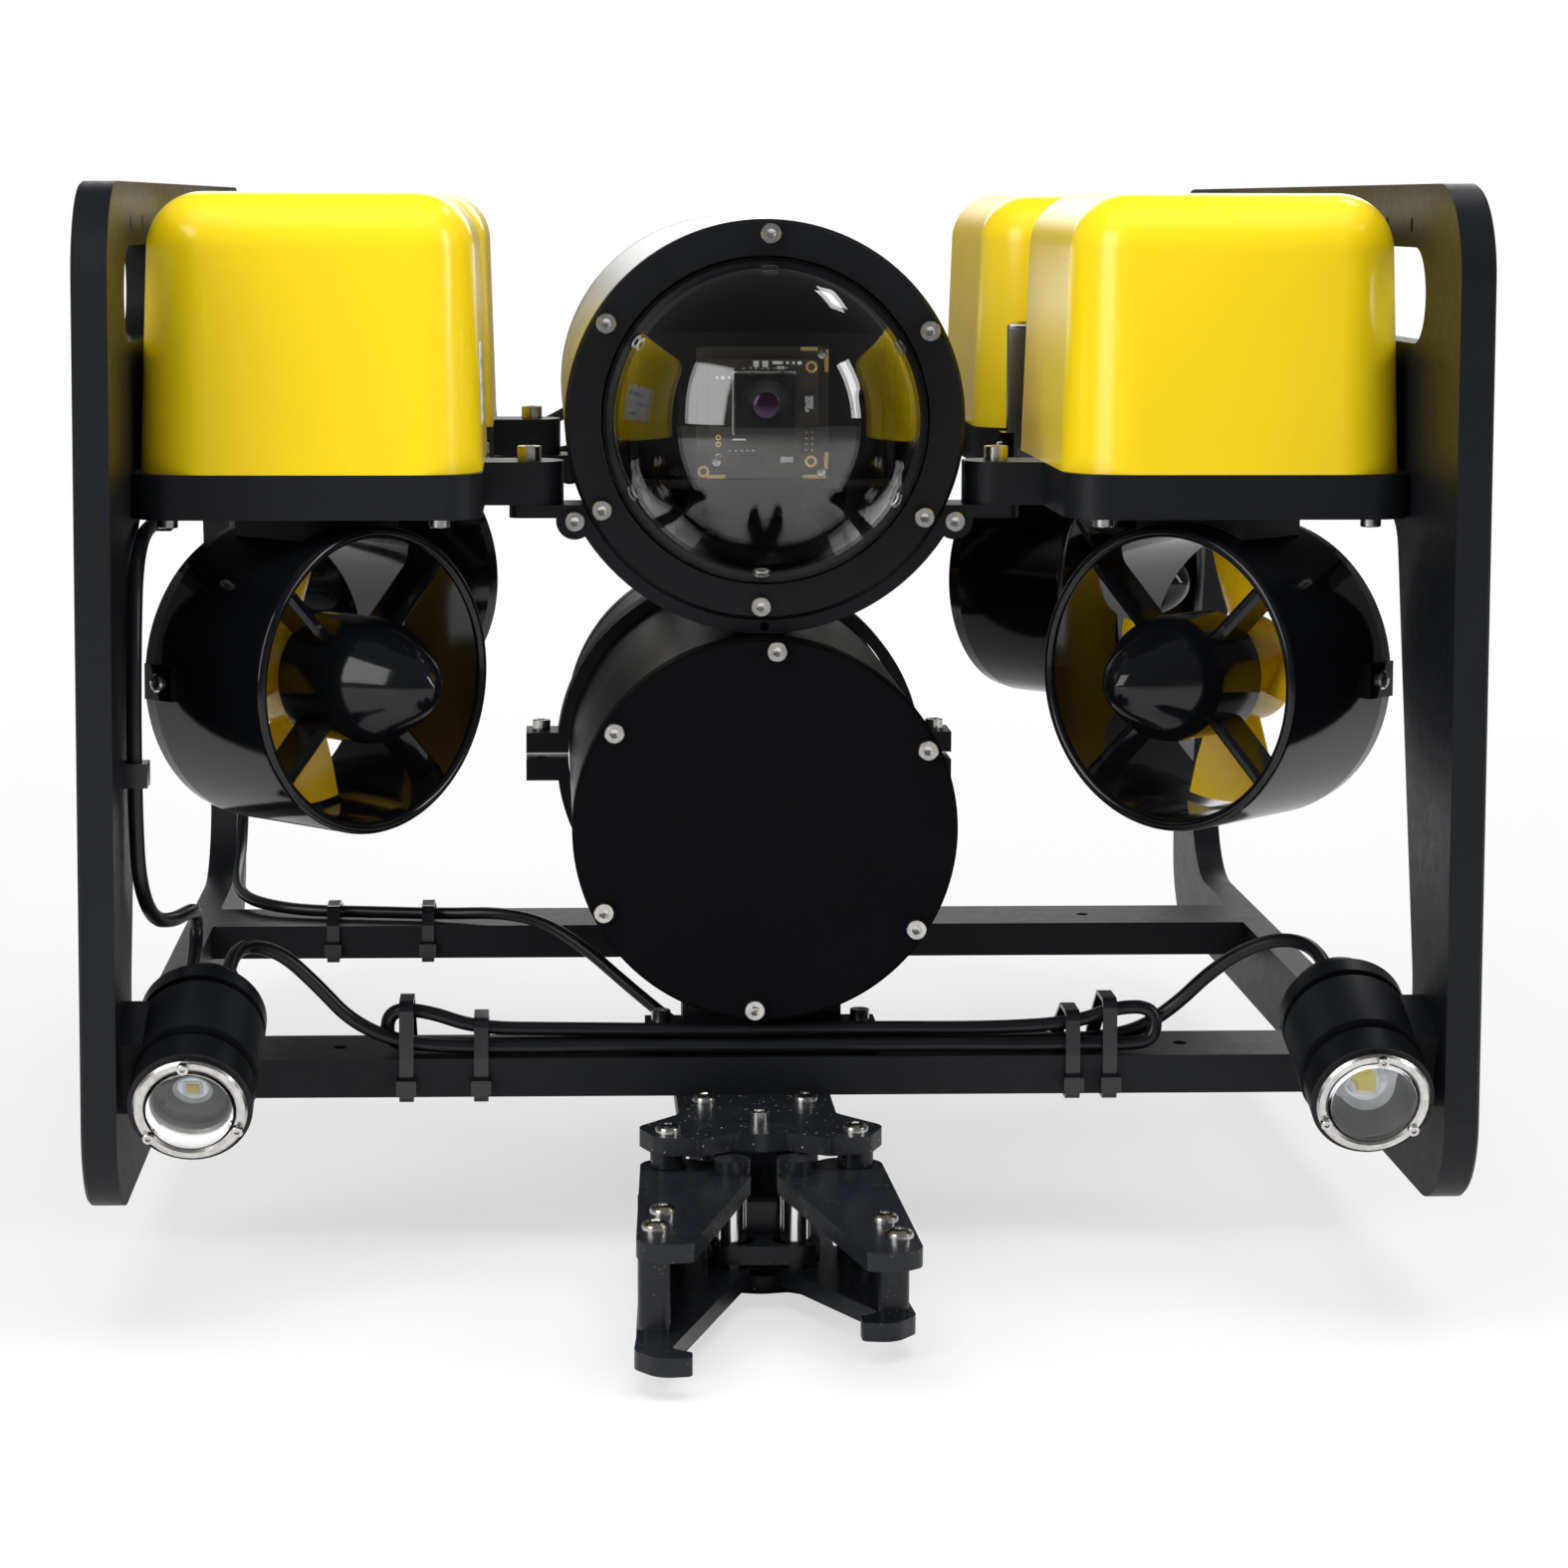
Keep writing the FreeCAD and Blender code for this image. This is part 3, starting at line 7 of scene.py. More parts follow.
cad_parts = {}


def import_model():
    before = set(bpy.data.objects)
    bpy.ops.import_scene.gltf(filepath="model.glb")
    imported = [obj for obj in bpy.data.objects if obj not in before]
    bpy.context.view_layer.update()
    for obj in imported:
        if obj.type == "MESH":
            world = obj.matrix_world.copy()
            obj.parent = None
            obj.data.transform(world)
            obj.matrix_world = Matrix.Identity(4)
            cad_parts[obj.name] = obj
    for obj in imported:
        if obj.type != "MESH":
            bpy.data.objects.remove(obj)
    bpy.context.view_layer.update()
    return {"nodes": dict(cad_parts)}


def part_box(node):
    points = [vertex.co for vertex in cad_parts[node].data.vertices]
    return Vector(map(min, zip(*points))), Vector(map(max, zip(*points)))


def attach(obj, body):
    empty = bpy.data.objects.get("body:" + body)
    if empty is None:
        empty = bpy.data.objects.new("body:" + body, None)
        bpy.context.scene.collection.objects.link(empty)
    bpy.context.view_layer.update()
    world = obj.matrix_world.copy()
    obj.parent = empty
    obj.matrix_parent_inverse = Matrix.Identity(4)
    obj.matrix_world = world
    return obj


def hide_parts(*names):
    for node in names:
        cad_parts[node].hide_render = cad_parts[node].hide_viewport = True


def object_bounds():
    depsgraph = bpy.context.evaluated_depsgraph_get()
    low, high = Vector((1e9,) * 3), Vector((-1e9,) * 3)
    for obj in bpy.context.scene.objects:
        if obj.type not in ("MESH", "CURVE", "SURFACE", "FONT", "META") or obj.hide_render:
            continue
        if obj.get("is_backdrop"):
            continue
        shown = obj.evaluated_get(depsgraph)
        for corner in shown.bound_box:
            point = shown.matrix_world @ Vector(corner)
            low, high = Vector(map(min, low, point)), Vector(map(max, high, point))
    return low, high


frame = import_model()

SMOOTH_ANGLE = math.radians(32)
ROUND_STEPS = 48
HEAD_STEPS = 24                     # points round a screw's head
FRAME = "frame"                     # the body that everything fixed rides on
CORNERS = ("front_left", "front_right", "rear_left", "rear_right")
THRUSTERS = ("front_left", "front_right", "rear_left", "rear_right", "lift_left", "lift_right")
SIDES = (("left", -1), ("right", 1))
FORWARDS, BACKWARDS, UP, DOWN = (0, -1, 0), (0, 1, 0), (0, 0, 1), (0, 0, -1)


# ---------------------------------------------------------------- how finishes are written

class Field:
    """One value or colour in a finish; arithmetic on it adds Math nodes."""

    def __init__(self, finish, socket):
        self.finish, self.socket = finish, socket

    def maths(self, operation, *values):
        return self.finish.node("Math", {"operation": operation}, dict(enumerate(values)))

    def __add__(self, other):
        return self.maths("ADD", self, other)

    def __sub__(self, other):
        return self.maths("SUBTRACT", self, other)

    def __rsub__(self, other):
        return self.maths("SUBTRACT", other, self)

    def __mul__(self, other):
        return self.maths("MULTIPLY", self, other)

    __radd__ = __add__
    __rmul__ = __mul__


class Finish:
    """A material, or the world, under construction: node() adds to it, and end() ends it."""

    def __init__(self, name, kept_in=bpy.data.materials):
        self.owner = kept_in.new(name)
        self.owner.use_nodes = True
        self.tree = self.owner.node_tree
        self.tree.nodes.clear()

    def node(self, kind, settings=(), values=(), out=0):
        """Adds a node: its settings first, then the values or links of its sockets."""
        made = self.tree.nodes.new("ShaderNode" + kind)
        for key, value in dict(settings).items():
            if key == "stops":
                self.set_stops(made.color_ramp.elements, value)
            else:
                setattr(made, key, value)
        for key, value in dict(values).items():
            if isinstance(value, Field):
                self.tree.links.new(value.socket, made.inputs[key])
            else:
                made.inputs[key].default_value = value
        return Field(self, made.outputs[out]) if made.outputs else None

    def set_stops(self, marks, stops):
        """Sets a ramp's marks from (position, grey or colour) stops."""
        while len(marks) < len(stops):
            marks.new(0.5)
        for mark, (position, colour) in zip(marks, stops):
            mark.position = position
            mark.color = colour if hasattr(colour, "__len__") else grey(colour)

    def place(self, **changes):
        """Object coordinates, in metres, with a Scale or Rotation."""
        here = self.node("TexCoord", out=3)
        return self.node("Mapping", {}, {"Vector": here, **changes})

    def noise(self, size, detail=3.0, rough=0.55, scale=(1, 1, 1)):
        """Noise whose features are about size metres across."""
        return self.node("TexNoise", {}, {"Vector": self.place(Scale=scale), "Scale": 1 / size,
                                          "Detail": detail, "Roughness": rough})

    def grains(self, size):
        """Cell noise: the distance to the nearest grain, for sparkle and speckle."""
        return self.node("TexVoronoi", {}, {"Vector": self.place(), "Scale": 1 / size})

    def ramp(self, value, *stops):
        """A ramp through (position, grey or colour) stops."""
        return self.node("ValToRGB", {"stops": stops}, {0: value})

    def mix(self, amount, first, second):
        """Mixes two colours."""
        return self.node("Mix", {"data_type": "RGBA"}, {0: amount, 6: first, 7: second}, out=2)

    def span(self, value, low, high):
        """Turns 0..1 into low..high."""
        return value * (high - low) + low

    def bump(self, height, depth, strength=1.0):
        """A normal from a height between 0 and 1, depth metres deep."""
        return self.node("Bump", {}, {"Strength": strength, "Distance": depth, "Height": height})

    def surface(self, **values):
        """Ends the finish with one Principled shader; Base_Color stands for Base Color."""
        inputs = {key.replace("_", " "): value for key, value in values.items()}
        return self.end(self.node("BsdfPrincipled", {}, inputs))

    def end(self, shader, output="OutputMaterial"):
        """Joins the last shader to the output, and gives the material or world."""
        self.node(output, {}, {0: shader})
        return self.owner


COOL = (0.80, 0.95, 1.25)           # the bluish cast of the black parts


def grey(value, tint=(1.0, 1.0, 1.0)):
    """An opaque grey, or one with a cast."""
    return tuple(value * part for part in tint) + (1.0,)


# ---------------------------------------------------------------- the finishes

def cut_sheet():
    """Black sheet plastic with a fine grain; its peaks are painted a little paler as a painted
    sparkle.
    """
    f = Finish("cut_sheet")
    grain = f.noise(0.0009, 4, 0.7)
    wide = f.noise(0.06, 2)
    colour = f.mix(wide, grey(0.005, COOL), grey(0.009, COOL))
    # painted sparkle: the grain's peaks are painted paler, as if they caught the light
    painted_sparkle = f.ramp(grain, (0.60, 0.0), (0.78, 1.0))
    colour = f.mix(painted_sparkle * 0.25, colour, grey(0.06, COOL))
    rough = f.span(f.noise(0.004, 3), 0.34, 0.52)
    return f.surface(Base_Color=colour, Roughness=rough, Specular_IOR_Level=0.22,
                     Normal=f.bump(grain, 0.00016, 0.55))


def float_yellow():
    """Glossy yellow moulding with a faint orange peel."""
    f = Finish("float_yellow")
    peel = f.noise(0.012, 2, 0.4)
    tone = f.noise(0.08, 2)
    colour = f.mix(tone, (0.90, 0.63, 0.005, 1), (0.92, 0.68, 0.008, 1))
    marks = f.ramp(f.noise(0.03, 3, 0.6), (0.40, 0.0), (0.80, 1.0))
    return f.surface(Base_Color=colour, Roughness=f.span(marks, 0.25, 0.28), IOR=1.48,
                     Coat_Weight=0.15, Coat_Roughness=0.12, Normal=f.bump(peel, 0.00003, 0.3))


def propeller_yellow():
    """Glossy warm yellow, with the flow marks of its moulding."""
    f = Finish("propeller_yellow")
    flow = f.noise(0.012, 3, 0.5)
    colour = f.mix(flow, (0.95, 0.56, 0.003, 1), (0.97, 0.63, 0.006, 1))
    return f.surface(Base_Color=colour, Roughness=f.span(f.noise(0.003, 2), 0.20, 0.34), IOR=1.48,
                     Normal=f.bump(flow, 0.0001, 0.3))


def duct_black():
    """High gloss moulded black, with hairline scratches."""
    f = Finish("duct_black")
    scratch = f.noise(0.0016, 5, 0.75, (1, 0.12, 0.5))
    fine = f.ramp(scratch, (0.62, 0.0), (0.72, 1.0))
    haze = f.noise(0.03, 3)
    colour = f.mix(haze, grey(0.0025, COOL), grey(0.005, COOL))
    return f.surface(Base_Color=colour, Roughness=f.span(haze, 0.07, 0.15) + fine * 0.12, IOR=1.46,
                     Specular_IOR_Level=0.4, Normal=f.bump(f.noise(0.02, 2), 0.0002, 0.25))


def anodised_black(name, low, high, tone=0.004, painted_glints=0.0):
    """Black anodised metal; the last argument sets how strongly bright grains are painted on, as
    painted glints.
    """
    f = Finish(name)
    wide = f.noise(0.02, 3)
    grain = f.noise(0.0005, 3, 0.7)
    colour = f.mix(wide, grey(tone, COOL), grey(tone * 1.7, COOL))
    if painted_glints:
        # painted glints: bright grains painted on the black, as if they caught the light
        dots = f.ramp(f.grains(0.0020), (0.12, 1.0), (0.20, 0.0))
        chosen = f.ramp(f.noise(0.005, 2), (0.50, 0.0), (0.58, 1.0))
        colour = f.mix(dots * chosen * painted_glints, colour, grey(0.55))
    return f.surface(Base_Color=colour, Roughness=f.span(wide, low, high),
                     Specular_IOR_Level=0.25, Normal=f.bump(grain, 0.00005, 0.3))


def cap_black():
    """The flat, matt front of the battery housing, with the faintest turning marks."""
    f = Finish("cap_black")
    fine = f.noise(0.0012, 3)
    wide = f.noise(0.05, 2)
    colour = f.mix(wide, grey(0.0022, COOL), grey(0.0036, COOL))
    return f.surface(Base_Color=colour, Roughness=f.span(fine, 0.52, 0.66),
                     Specular_IOR_Level=0.06, Normal=f.bump(fine, 0.00004, 0.25))


def silver_tube():
    """Bright satin anodised tube with fine turning lines round it."""
    f = Finish("silver_tube")
    lines = f.noise(0.0007, 3, 0.6, (0.02, 1, 0.02))
    colour = f.mix(f.noise(0.05, 2), grey(0.58, (0.99, 1.0, 1.0)), grey(0.66))
    return f.surface(Base_Color=colour, Metallic=0.6, Roughness=f.span(lines, 0.30, 0.42),
                     Normal=f.bump(lines, 0.00003, 0.4))


def stainless():
    """Turned stainless: bright, a little worn, with soft lines."""
    f = Finish("stainless")
    lines = f.noise(0.0004, 4, 0.7, (1, 1, 0.2))
    stain = f.ramp(f.noise(0.0025, 4), (0.35, 0.0), (0.8, 1.0))
    colour = f.mix(stain, grey(0.66, (1.0, 0.985, 0.96)), grey(0.42, (1.0, 0.96, 0.90)))
    return f.surface(Base_Color=colour, Metallic=1.0, Roughness=f.span(lines, 0.16, 0.34),
                     Normal=f.bump(lines, 0.00003, 0.3))


def polished_pin():
    """Polished bright metal, with faint lines along Z."""
    f = Finish("polished_pin")
    lines = f.noise(0.0012, 3, 0.6, (1, 1, 0.05))
    colour = f.mix(lines, grey(0.62, (1.0, 0.99, 0.97)), grey(0.80, (1.0, 0.99, 0.97)))
    return f.surface(Base_Color=colour, Metallic=1.0, Roughness=f.span(lines, 0.08, 0.18))


def clear_acrylic():
    """The dome: clear, with the faintest smears."""
    f = Finish("clear_acrylic")
    smear = f.ramp(f.noise(0.03, 4), (0.5, 0.0), (0.9, 1.0))
    return f.surface(Base_Color=(0.985, 0.995, 1.0, 1), Roughness=smear * 0.02, IOR=1.49,
                     Transmission_Weight=1.0)


def lamp_glass():
    """The lamps' lenses: clear, and a little smeared."""
    f = Finish("lamp_glass")
    smear = f.ramp(f.noise(0.006, 4), (0.45, 0.0), (0.9, 1.0))
    return f.surface(Base_Color=(1, 1, 1, 1), Roughness=smear * 0.05 + 0.01, IOR=1.47,
                     Transmission_Weight=1.0)


def smoked_laminate():
    """Dark laminate: woven glass under smoked resin."""
    f = Finish("smoked_laminate")
    weave = f.noise(0.0012, 2, 0.5, (1, 4, 1)) * 0.5 + f.noise(0.0012, 2, 0.5, (1, 1, 4)) * 0.5
    tone = f.mix(f.noise(0.03, 2), (0.004, 0.003, 0.002, 1), (0.006, 0.004, 0.003, 1))
    colour = f.mix(weave * 0.4, tone, (0.018, 0.012, 0.006, 1))
    return f.surface(Base_Color=colour, Roughness=f.span(weave, 0.42, 0.58),
                     Specular_IOR_Level=0.2)


def solder_mask():
    """Dark circuit board with faint buried tracks."""
    f = Finish("solder_mask")
    bricks = f.node("TexBrick", {"offset": 0.5}, {
        "Vector": f.place(Rotation=(math.pi / 2, 0, 0)), "Scale": 420.0, "Mortar Size": 0.06,
        "Color1": grey(0.0), "Color2": grey(0.35), "Mortar": grey(1.0)})
    tracks = f.ramp(bricks, (0.3, 0.0), (0.9, 1.0))
    colour = f.mix(tracks * 0.5, (0.020, 0.014, 0.011, 1), (0.075, 0.056, 0.028, 1))
    return f.surface(Base_Color=colour, Roughness=f.span(f.noise(0.002), 0.25, 0.4),
                     Normal=f.bump(tracks, 0.00004, 0.5))


def plain(name, colour, second, low, high, size=0.01, **more):
    """A moulded or painted finish: two close colours, uneven gloss and fine texture."""
    f = Finish(name)
    wide = f.noise(size, 3)
    fine = f.noise(size / 12, 2)
    return f.surface(Base_Color=f.mix(wide, colour, second), Roughness=f.span(wide, low, high),
                     Normal=f.bump(fine, 0.00004, 0.4), **more)


def coated_glass():
    """The camera's front element: dark, with a violet coating."""
    f = Finish("coated_glass")
    colour = f.mix(f.noise(0.003), (0.010, 0.003, 0.010, 1), (0.030, 0.006, 0.018, 1))
    return f.surface(Base_Color=colour, Roughness=f.noise(0.004) * 0.04,
                     Specular_Tint=(0.75, 0.55, 1.0, 1.0))


def reflector():
    """The lamp's pale cone, in small facets."""
    f = Finish("reflector")
    facets = f.grains(0.0022)
    colour = f.mix(facets, (0.80, 0.88, 0.93, 1), (0.92, 0.96, 0.98, 1))
    return f.surface(Base_Color=colour, Metallic=0.3, Roughness=f.span(facets, 0.12, 0.30),
                     Normal=f.bump(facets, 0.0002, 0.5))


def phosphor():
    """The lamp's light source, unlit: a yellow phosphor square."""
    f = Finish("phosphor")
    dots = f.grains(0.0007)
    return f.surface(Base_Color=f.mix(dots, (0.86, 0.70, 0.06, 1), (0.95, 0.82, 0.18, 1)),
                     Roughness=f.span(dots, 0.45, 0.6))


SHEET = cut_sheet()
FLOAT = float_yellow()
PROPELLER = propeller_yellow()
DUCT = duct_black()
HOUSING = anodised_black("housing_black", 0.28, 0.42)
CAP = cap_black()
SILVER = silver_tube()
STEEL = stainless()
PIN = polished_pin()
ACRYLIC = clear_acrylic()
LAMP_GLASS = lamp_glass()
LAMINATE = smoked_laminate()
BOARD = solder_mask()
# the last number of the gripper and the jaws sets how strong their painted glints are
GRIPPER = anodised_black("gripper_black", 0.20, 0.34, 0.010, 0.8)
JAW = anodised_black("jaw_black", 0.20, 0.34, 0.010, 0.12)
MOULDED = plain("moulded_black", grey(0.005, COOL), grey(0.009, COOL), 0.38, 0.52,
                Specular_IOR_Level=0.2)
NYLON = plain("nylon_black", grey(0.006, COOL), grey(0.011, COOL), 0.12, 0.22,
              Specular_IOR_Level=0.5)
JACKET = plain("lead_jacket", grey(0.005, COOL), grey(0.008, COOL), 0.25, 0.36, 0.02,
               Specular_IOR_Level=0.35)
WRAP = plain("cell_wrap", (0.02, 0.05, 0.16, 1), (0.03, 0.07, 0.22, 1), 0.3, 0.4)
CAMERA_BLACK = plain("camera_black", grey(0.005), grey(0.008), 0.22, 0.34,
                     Specular_IOR_Level=0.3)
GOLD = plain("gold_plate", (0.90, 0.62, 0.20, 1), (0.98, 0.74, 0.32, 1), 0.2, 0.35, Metallic=0.6)
PALE_PRINT = plain("pale_print", grey(0.90), grey(0.96), 0.4, 0.5)
LABEL_WHITE = plain("label_white", grey(0.86), grey(0.92), 0.3, 0.4)
LABEL_BLUE = plain("label_blue", (0.16, 0.38, 0.55, 1), (0.20, 0.45, 0.62, 1), 0.4, 0.5)
CHIP = plain("chip_black", grey(0.012), grey(0.02), 0.35, 0.5, 0.002)
SOLDER = plain("solder", grey(0.62), grey(0.75), 0.2, 0.35, 0.002, Metallic=1.0)
GLASS_DARK = coated_glass()
REFLECTOR = reflector()
PHOSPHOR = phosphor()


def dress(material, *names):
    """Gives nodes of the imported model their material."""
    for name in names:
        for holder in frame["nodes"][name].material_slots:
            holder.material = material


dress(SHEET, "side_plate_left", "side_plate_right", "front_beam", "rear_beam",
      *["shelf_" + corner for corner in CORNERS])
dress(FLOAT, *["float_" + corner for corner in CORNERS])
dress(SILVER, "electronics_tube")
dress(HOUSING, "dome_flange", "electronics_rear_cap", "battery_tube", "battery_rear_cap",
      "light_body_left", "light_body_right")
dress(CAP, "battery_front_cap")
dress(ACRYLIC, "camera_dome")
dress(LAMINATE, "electronics_tray")
dress(BOARD, "camera_board")
dress(CAMERA_BLACK, "camera_lens")
dress(MOULDED, "electronics_saddles", "battery_saddles", "battery_clamp", "thruster_mounts",
      "light_bracket_left", "light_bracket_right")
dress(WRAP, "battery_pack")
dress(DUCT, *["thruster_duct_" + place for place in THRUSTERS])
dress(PROPELLER, *["propeller_" + place for place in THRUSTERS])
dress(GRIPPER, "gripper_plates")
dress(JAW, "gripper_actuator", "jaw_left", "jaw_right", "push_rod")
dress(PIN, "jaw_pin_left", "jaw_pin_right")
dress(NYLON, "cable_ties", "cable_glands")


# ---------------------------------------------------------------- shapes

def finished(name, mesh, material, body):
    """Makes a piece of a mesh that is already in place, and lets it ride on a body."""
    mesh.materials.clear()
    mesh.materials.append(material)
    mesh.polygons.foreach_set("use_smooth", [True] * len(mesh.polygons))
    mesh.set_sharp_from_angle(angle=SMOOTH_ANGLE)
    made = bpy.data.objects.new(name, mesh)
    bpy.context.scene.collection.objects.link(made)
    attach(made, body)
    return made


def skin(name, rings, place=Matrix.Identity(4), closed=False):
    """A mesh through rings of equal point counts, with faces at its ends unless closed on itself."""
    count, total = len(rings[0]), len(rings[0]) * len(rings)
    corners = [place @ Vector(point) for ring in rings for point in ring]
    faces = []
    for low in range(0, total if closed else total - count, count):
        high = (low + count) % total
        for i in range(count):
            j = (i + 1) % count
            faces.append((low + i, low + j, high + j, high + i))
    if not closed:
        faces.append(tuple(reversed(range(count))))
        faces.append(tuple(range(total - count, total)))
    mesh = bpy.data.meshes.new(name)
    mesh.from_pydata(corners, [], faces)
    mesh.validate()
    return mesh


def circle(radius, height, steps=ROUND_STEPS):
    """The points of a level circle round Z."""
    angles = [math.tau * i / steps for i in range(steps)]
    return [(radius * math.cos(angle), radius * math.sin(angle), height) for angle in angles]


def hexagon(flats, height):
    """The points of a hexagon, spread evenly by angle so that they match a circle's."""
    ring = []
    for i in range(HEAD_STEPS):
        angle = math.tau * i / HEAD_STEPS
        reach = flats / 2 / math.cos(angle % (math.pi / 3) - math.pi / 6)
        ring.append((reach * math.cos(angle), reach * math.sin(angle), height))
    return ring


def turned(name, profile, place=Matrix.Identity(4), steps=ROUND_STEPS, closed=False):
    """A turned solid about Z; profile is (height, radius) pairs from one end to the other."""
    return skin(name, [circle(radius, height, steps) for height, radius in profile], place, closed)


def turned_ring(name, profile, place, steps=ROUND_STEPS):
    """A turned ring: the profile's last point joins its first."""
    return turned(name, profile, place, steps, closed=True)


def slab(name, width, depth, height, edge, place=Matrix.Identity(4)):
    """A block on z = 0 with broken edges, centred on its place."""
    def level(inset, z):
        w, d = width / 2 - inset, depth / 2 - inset
        return [(-w, -d, z), (w, -d, z), (w, d, z), (-w, d, z)]
    return skin(name, [level(edge, 0), level(0, edge), level(0, height - edge), level(edge, height)],
                place)


def join(name, meshes):
    """One mesh of several."""
    corners, faces = [], []
    for mesh in meshes:
        start = len(corners)
        corners += [tuple(v.co) for v in mesh.vertices]
        faces += [tuple(start + v for v in face.vertices) for face in mesh.polygons]
        bpy.data.meshes.remove(mesh)
    whole = bpy.data.meshes.new(name)
    whole.from_pydata(corners, [], faces)
    return whole


def low_corner(name):
    return Vector(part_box(name)[0])


def high_corner(name):
    return Vector(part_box(name)[1])


def middle_of(name):
    return (low_corner(name) + high_corner(name)) / 2


# ---------------------------------------------------------------- rows and screws, as node trees

def new_tree(name, inputs, output):
    """A node group with inputs by name and kind and one geometry output."""
    tree = bpy.data.node_groups.new(name, "GeometryNodeTree")
    for label, kind in inputs.items():
        tree.interface.new_socket(label, in_out="INPUT", socket_type="NodeSocket" + kind)
    tree.interface.new_socket(output, in_out="OUTPUT", socket_type="NodeSocketGeometry")
    return tree


def added(tree, kind, **settings):
    """Adds a node with its settings."""
    made = tree.nodes.new(kind)
    for key, value in settings.items():
        setattr(made, key, value)
    return made


def linked(tree, *rows):
    """Makes links; each row is a node, its output, the next node and its input."""
    for first, out, second, into in rows:
        tree.links.new(first.outputs[out], second.inputs[into])


def place_part(tree, part, material, **feeds):
    """Puts a part on points; each feed is the node and output that drive one input."""
    source = added(tree, "GeometryNodeObjectInfo")
    source.inputs["Object"].default_value = part
    points = added(tree, "GeometryNodeInstanceOnPoints")
    realize = added(tree, "GeometryNodeRealizeInstances")
    finish = added(tree, "GeometryNodeSetMaterial")
    finish.inputs["Material"].default_value = material
    result = added(tree, "NodeGroupOutput")
    linked(tree, *[(first, out, points, into) for into, (first, out) in feeds.items()],
           (source, "Geometry", points, "Instance"), (points, "Instances", realize, "Geometry"),
           (realize, "Geometry", finish, "Geometry"), (finish, "Geometry", result, 0))


def screw_tree(name, head, material):
    """Sets a head on every point, along its aim, with its socket turned at random."""
    tree = new_tree(name, {"Places": "Geometry", "Size": "Float", "Largest Turn": "Float",
                           "Seed": "Int"}, "Screws")
    given = added(tree, "NodeGroupInput")
    aim = added(tree, "GeometryNodeInputNamedAttribute", data_type="FLOAT_VECTOR")
    aim.inputs["Name"].default_value = "aim"
    align = added(tree, "FunctionNodeAlignRotationToVector", axis="Z")
    turn = added(tree, "FunctionNodeRandomValue", data_type="FLOAT")
    spin = added(tree, "FunctionNodeAxisAngleToRotation")
    spin.inputs["Axis"].default_value = UP
    rotate = added(tree, "FunctionNodeRotateRotation", rotation_space="LOCAL")
    linked(tree, (aim, "Attribute", align, "Vector"), (given, "Largest Turn", turn, 3),
           (given, "Seed", turn, "Seed"), (turn, 1, spin, "Angle"),
           (align, "Rotation", rotate, "Rotation"), (spin, "Rotation", rotate, "Rotate By"))
    place_part(tree, head, material, Points=(given, "Places"), Rotation=(rotate, "Rotation"),
               Scale=(given, "Size"))
    return tree


def row_tree(name, part, material):
    """A row of small parts along X with uneven sizes."""
    tree = new_tree(name, {"Start": "Vector", "Step": "Vector", "Count": "Int", "Seed": "Int"},
                    "Parts")
    given = added(tree, "NodeGroupInput")
    line = added(tree, "GeometryNodeMeshLine", mode="OFFSET")
    spread = added(tree, "FunctionNodeRandomValue", data_type="FLOAT_VECTOR")
    spread.inputs[0].default_value = (0.55, 0.7, 0.6)
    spread.inputs[1].default_value = (1.1, 1.0, 1.4)
    linked(tree, (given, "Start", line, "Start Location"), (given, "Step", line, "Offset"),
           (given, "Count", line, "Count"), (given, "Seed", spread, "Seed"))
    place_part(tree, part, material, Points=(line, "Mesh"), Scale=(spread, "Value"))
    return tree


def grown(name, mesh, tree, values):
    """What a tree makes of a mesh, with the tree's inputs set by name."""
    carrier = bpy.data.objects.new(name + "_carrier", mesh)
    bpy.context.scene.collection.objects.link(carrier)
    modifier = carrier.modifiers.new(name, "NODES")
    modifier.node_group = tree
    for item in tree.interface.items_tree:
        if item.in_out == "INPUT" and item.name in values:
            modifier[item.identifier] = values[item.name]
    bpy.context.view_layer.update()
    ready = carrier.evaluated_get(bpy.context.evaluated_depsgraph_get())
    made = bpy.data.meshes.new_from_object(ready)
    bpy.data.objects.remove(carrier)
    return made


def socket_head(radius, height, key, depth, crown=0.0):
    """A cap screw's head on z = 0 with a hexagonal socket; crown rounds it like a button."""
    edge, shoulder, dome_turn = 0.00025, height - crown, math.radians(58)
    rings = [circle(radius, 0, HEAD_STEPS), circle(radius, shoulder - edge, HEAD_STEPS)]
    if crown:
        for share in (0.35, 0.7, 1.0):
            turn = share * dome_turn
            rise = crown * math.sin(turn) / math.sin(dome_turn)
            rings.append(circle(radius * math.cos(turn), shoulder + rise, HEAD_STEPS))
    else:
        rings.append(circle(radius - edge, height, HEAD_STEPS))
    rings += [hexagon(key + 0.0002, height), hexagon(key, height - 0.0002),
              hexagon(key, height - depth),
              circle(key * 0.12, height - depth - 0.0003, HEAD_STEPS)]
    return skin("socket_head", rings)


def cross_head(radius, height):
    """A pan head with a cross recess."""
    def star(reach, z):
        ring = []
        for i in range(HEAD_STEPS):
            arm = reach if i % 6 in (0, 1, 5) else reach * 0.42
            angle = math.tau * i / HEAD_STEPS
            ring.append((arm * math.cos(angle), arm * math.sin(angle), z))
        return ring
    rings = [circle(radius, 0, HEAD_STEPS), circle(radius, height * 0.5, HEAD_STEPS),
             circle(radius * 0.8, height * 0.92, HEAD_STEPS), star(radius * 0.55, height),
             star(radius * 0.45, height * 0.45)]
    return skin("cross_head", rings)


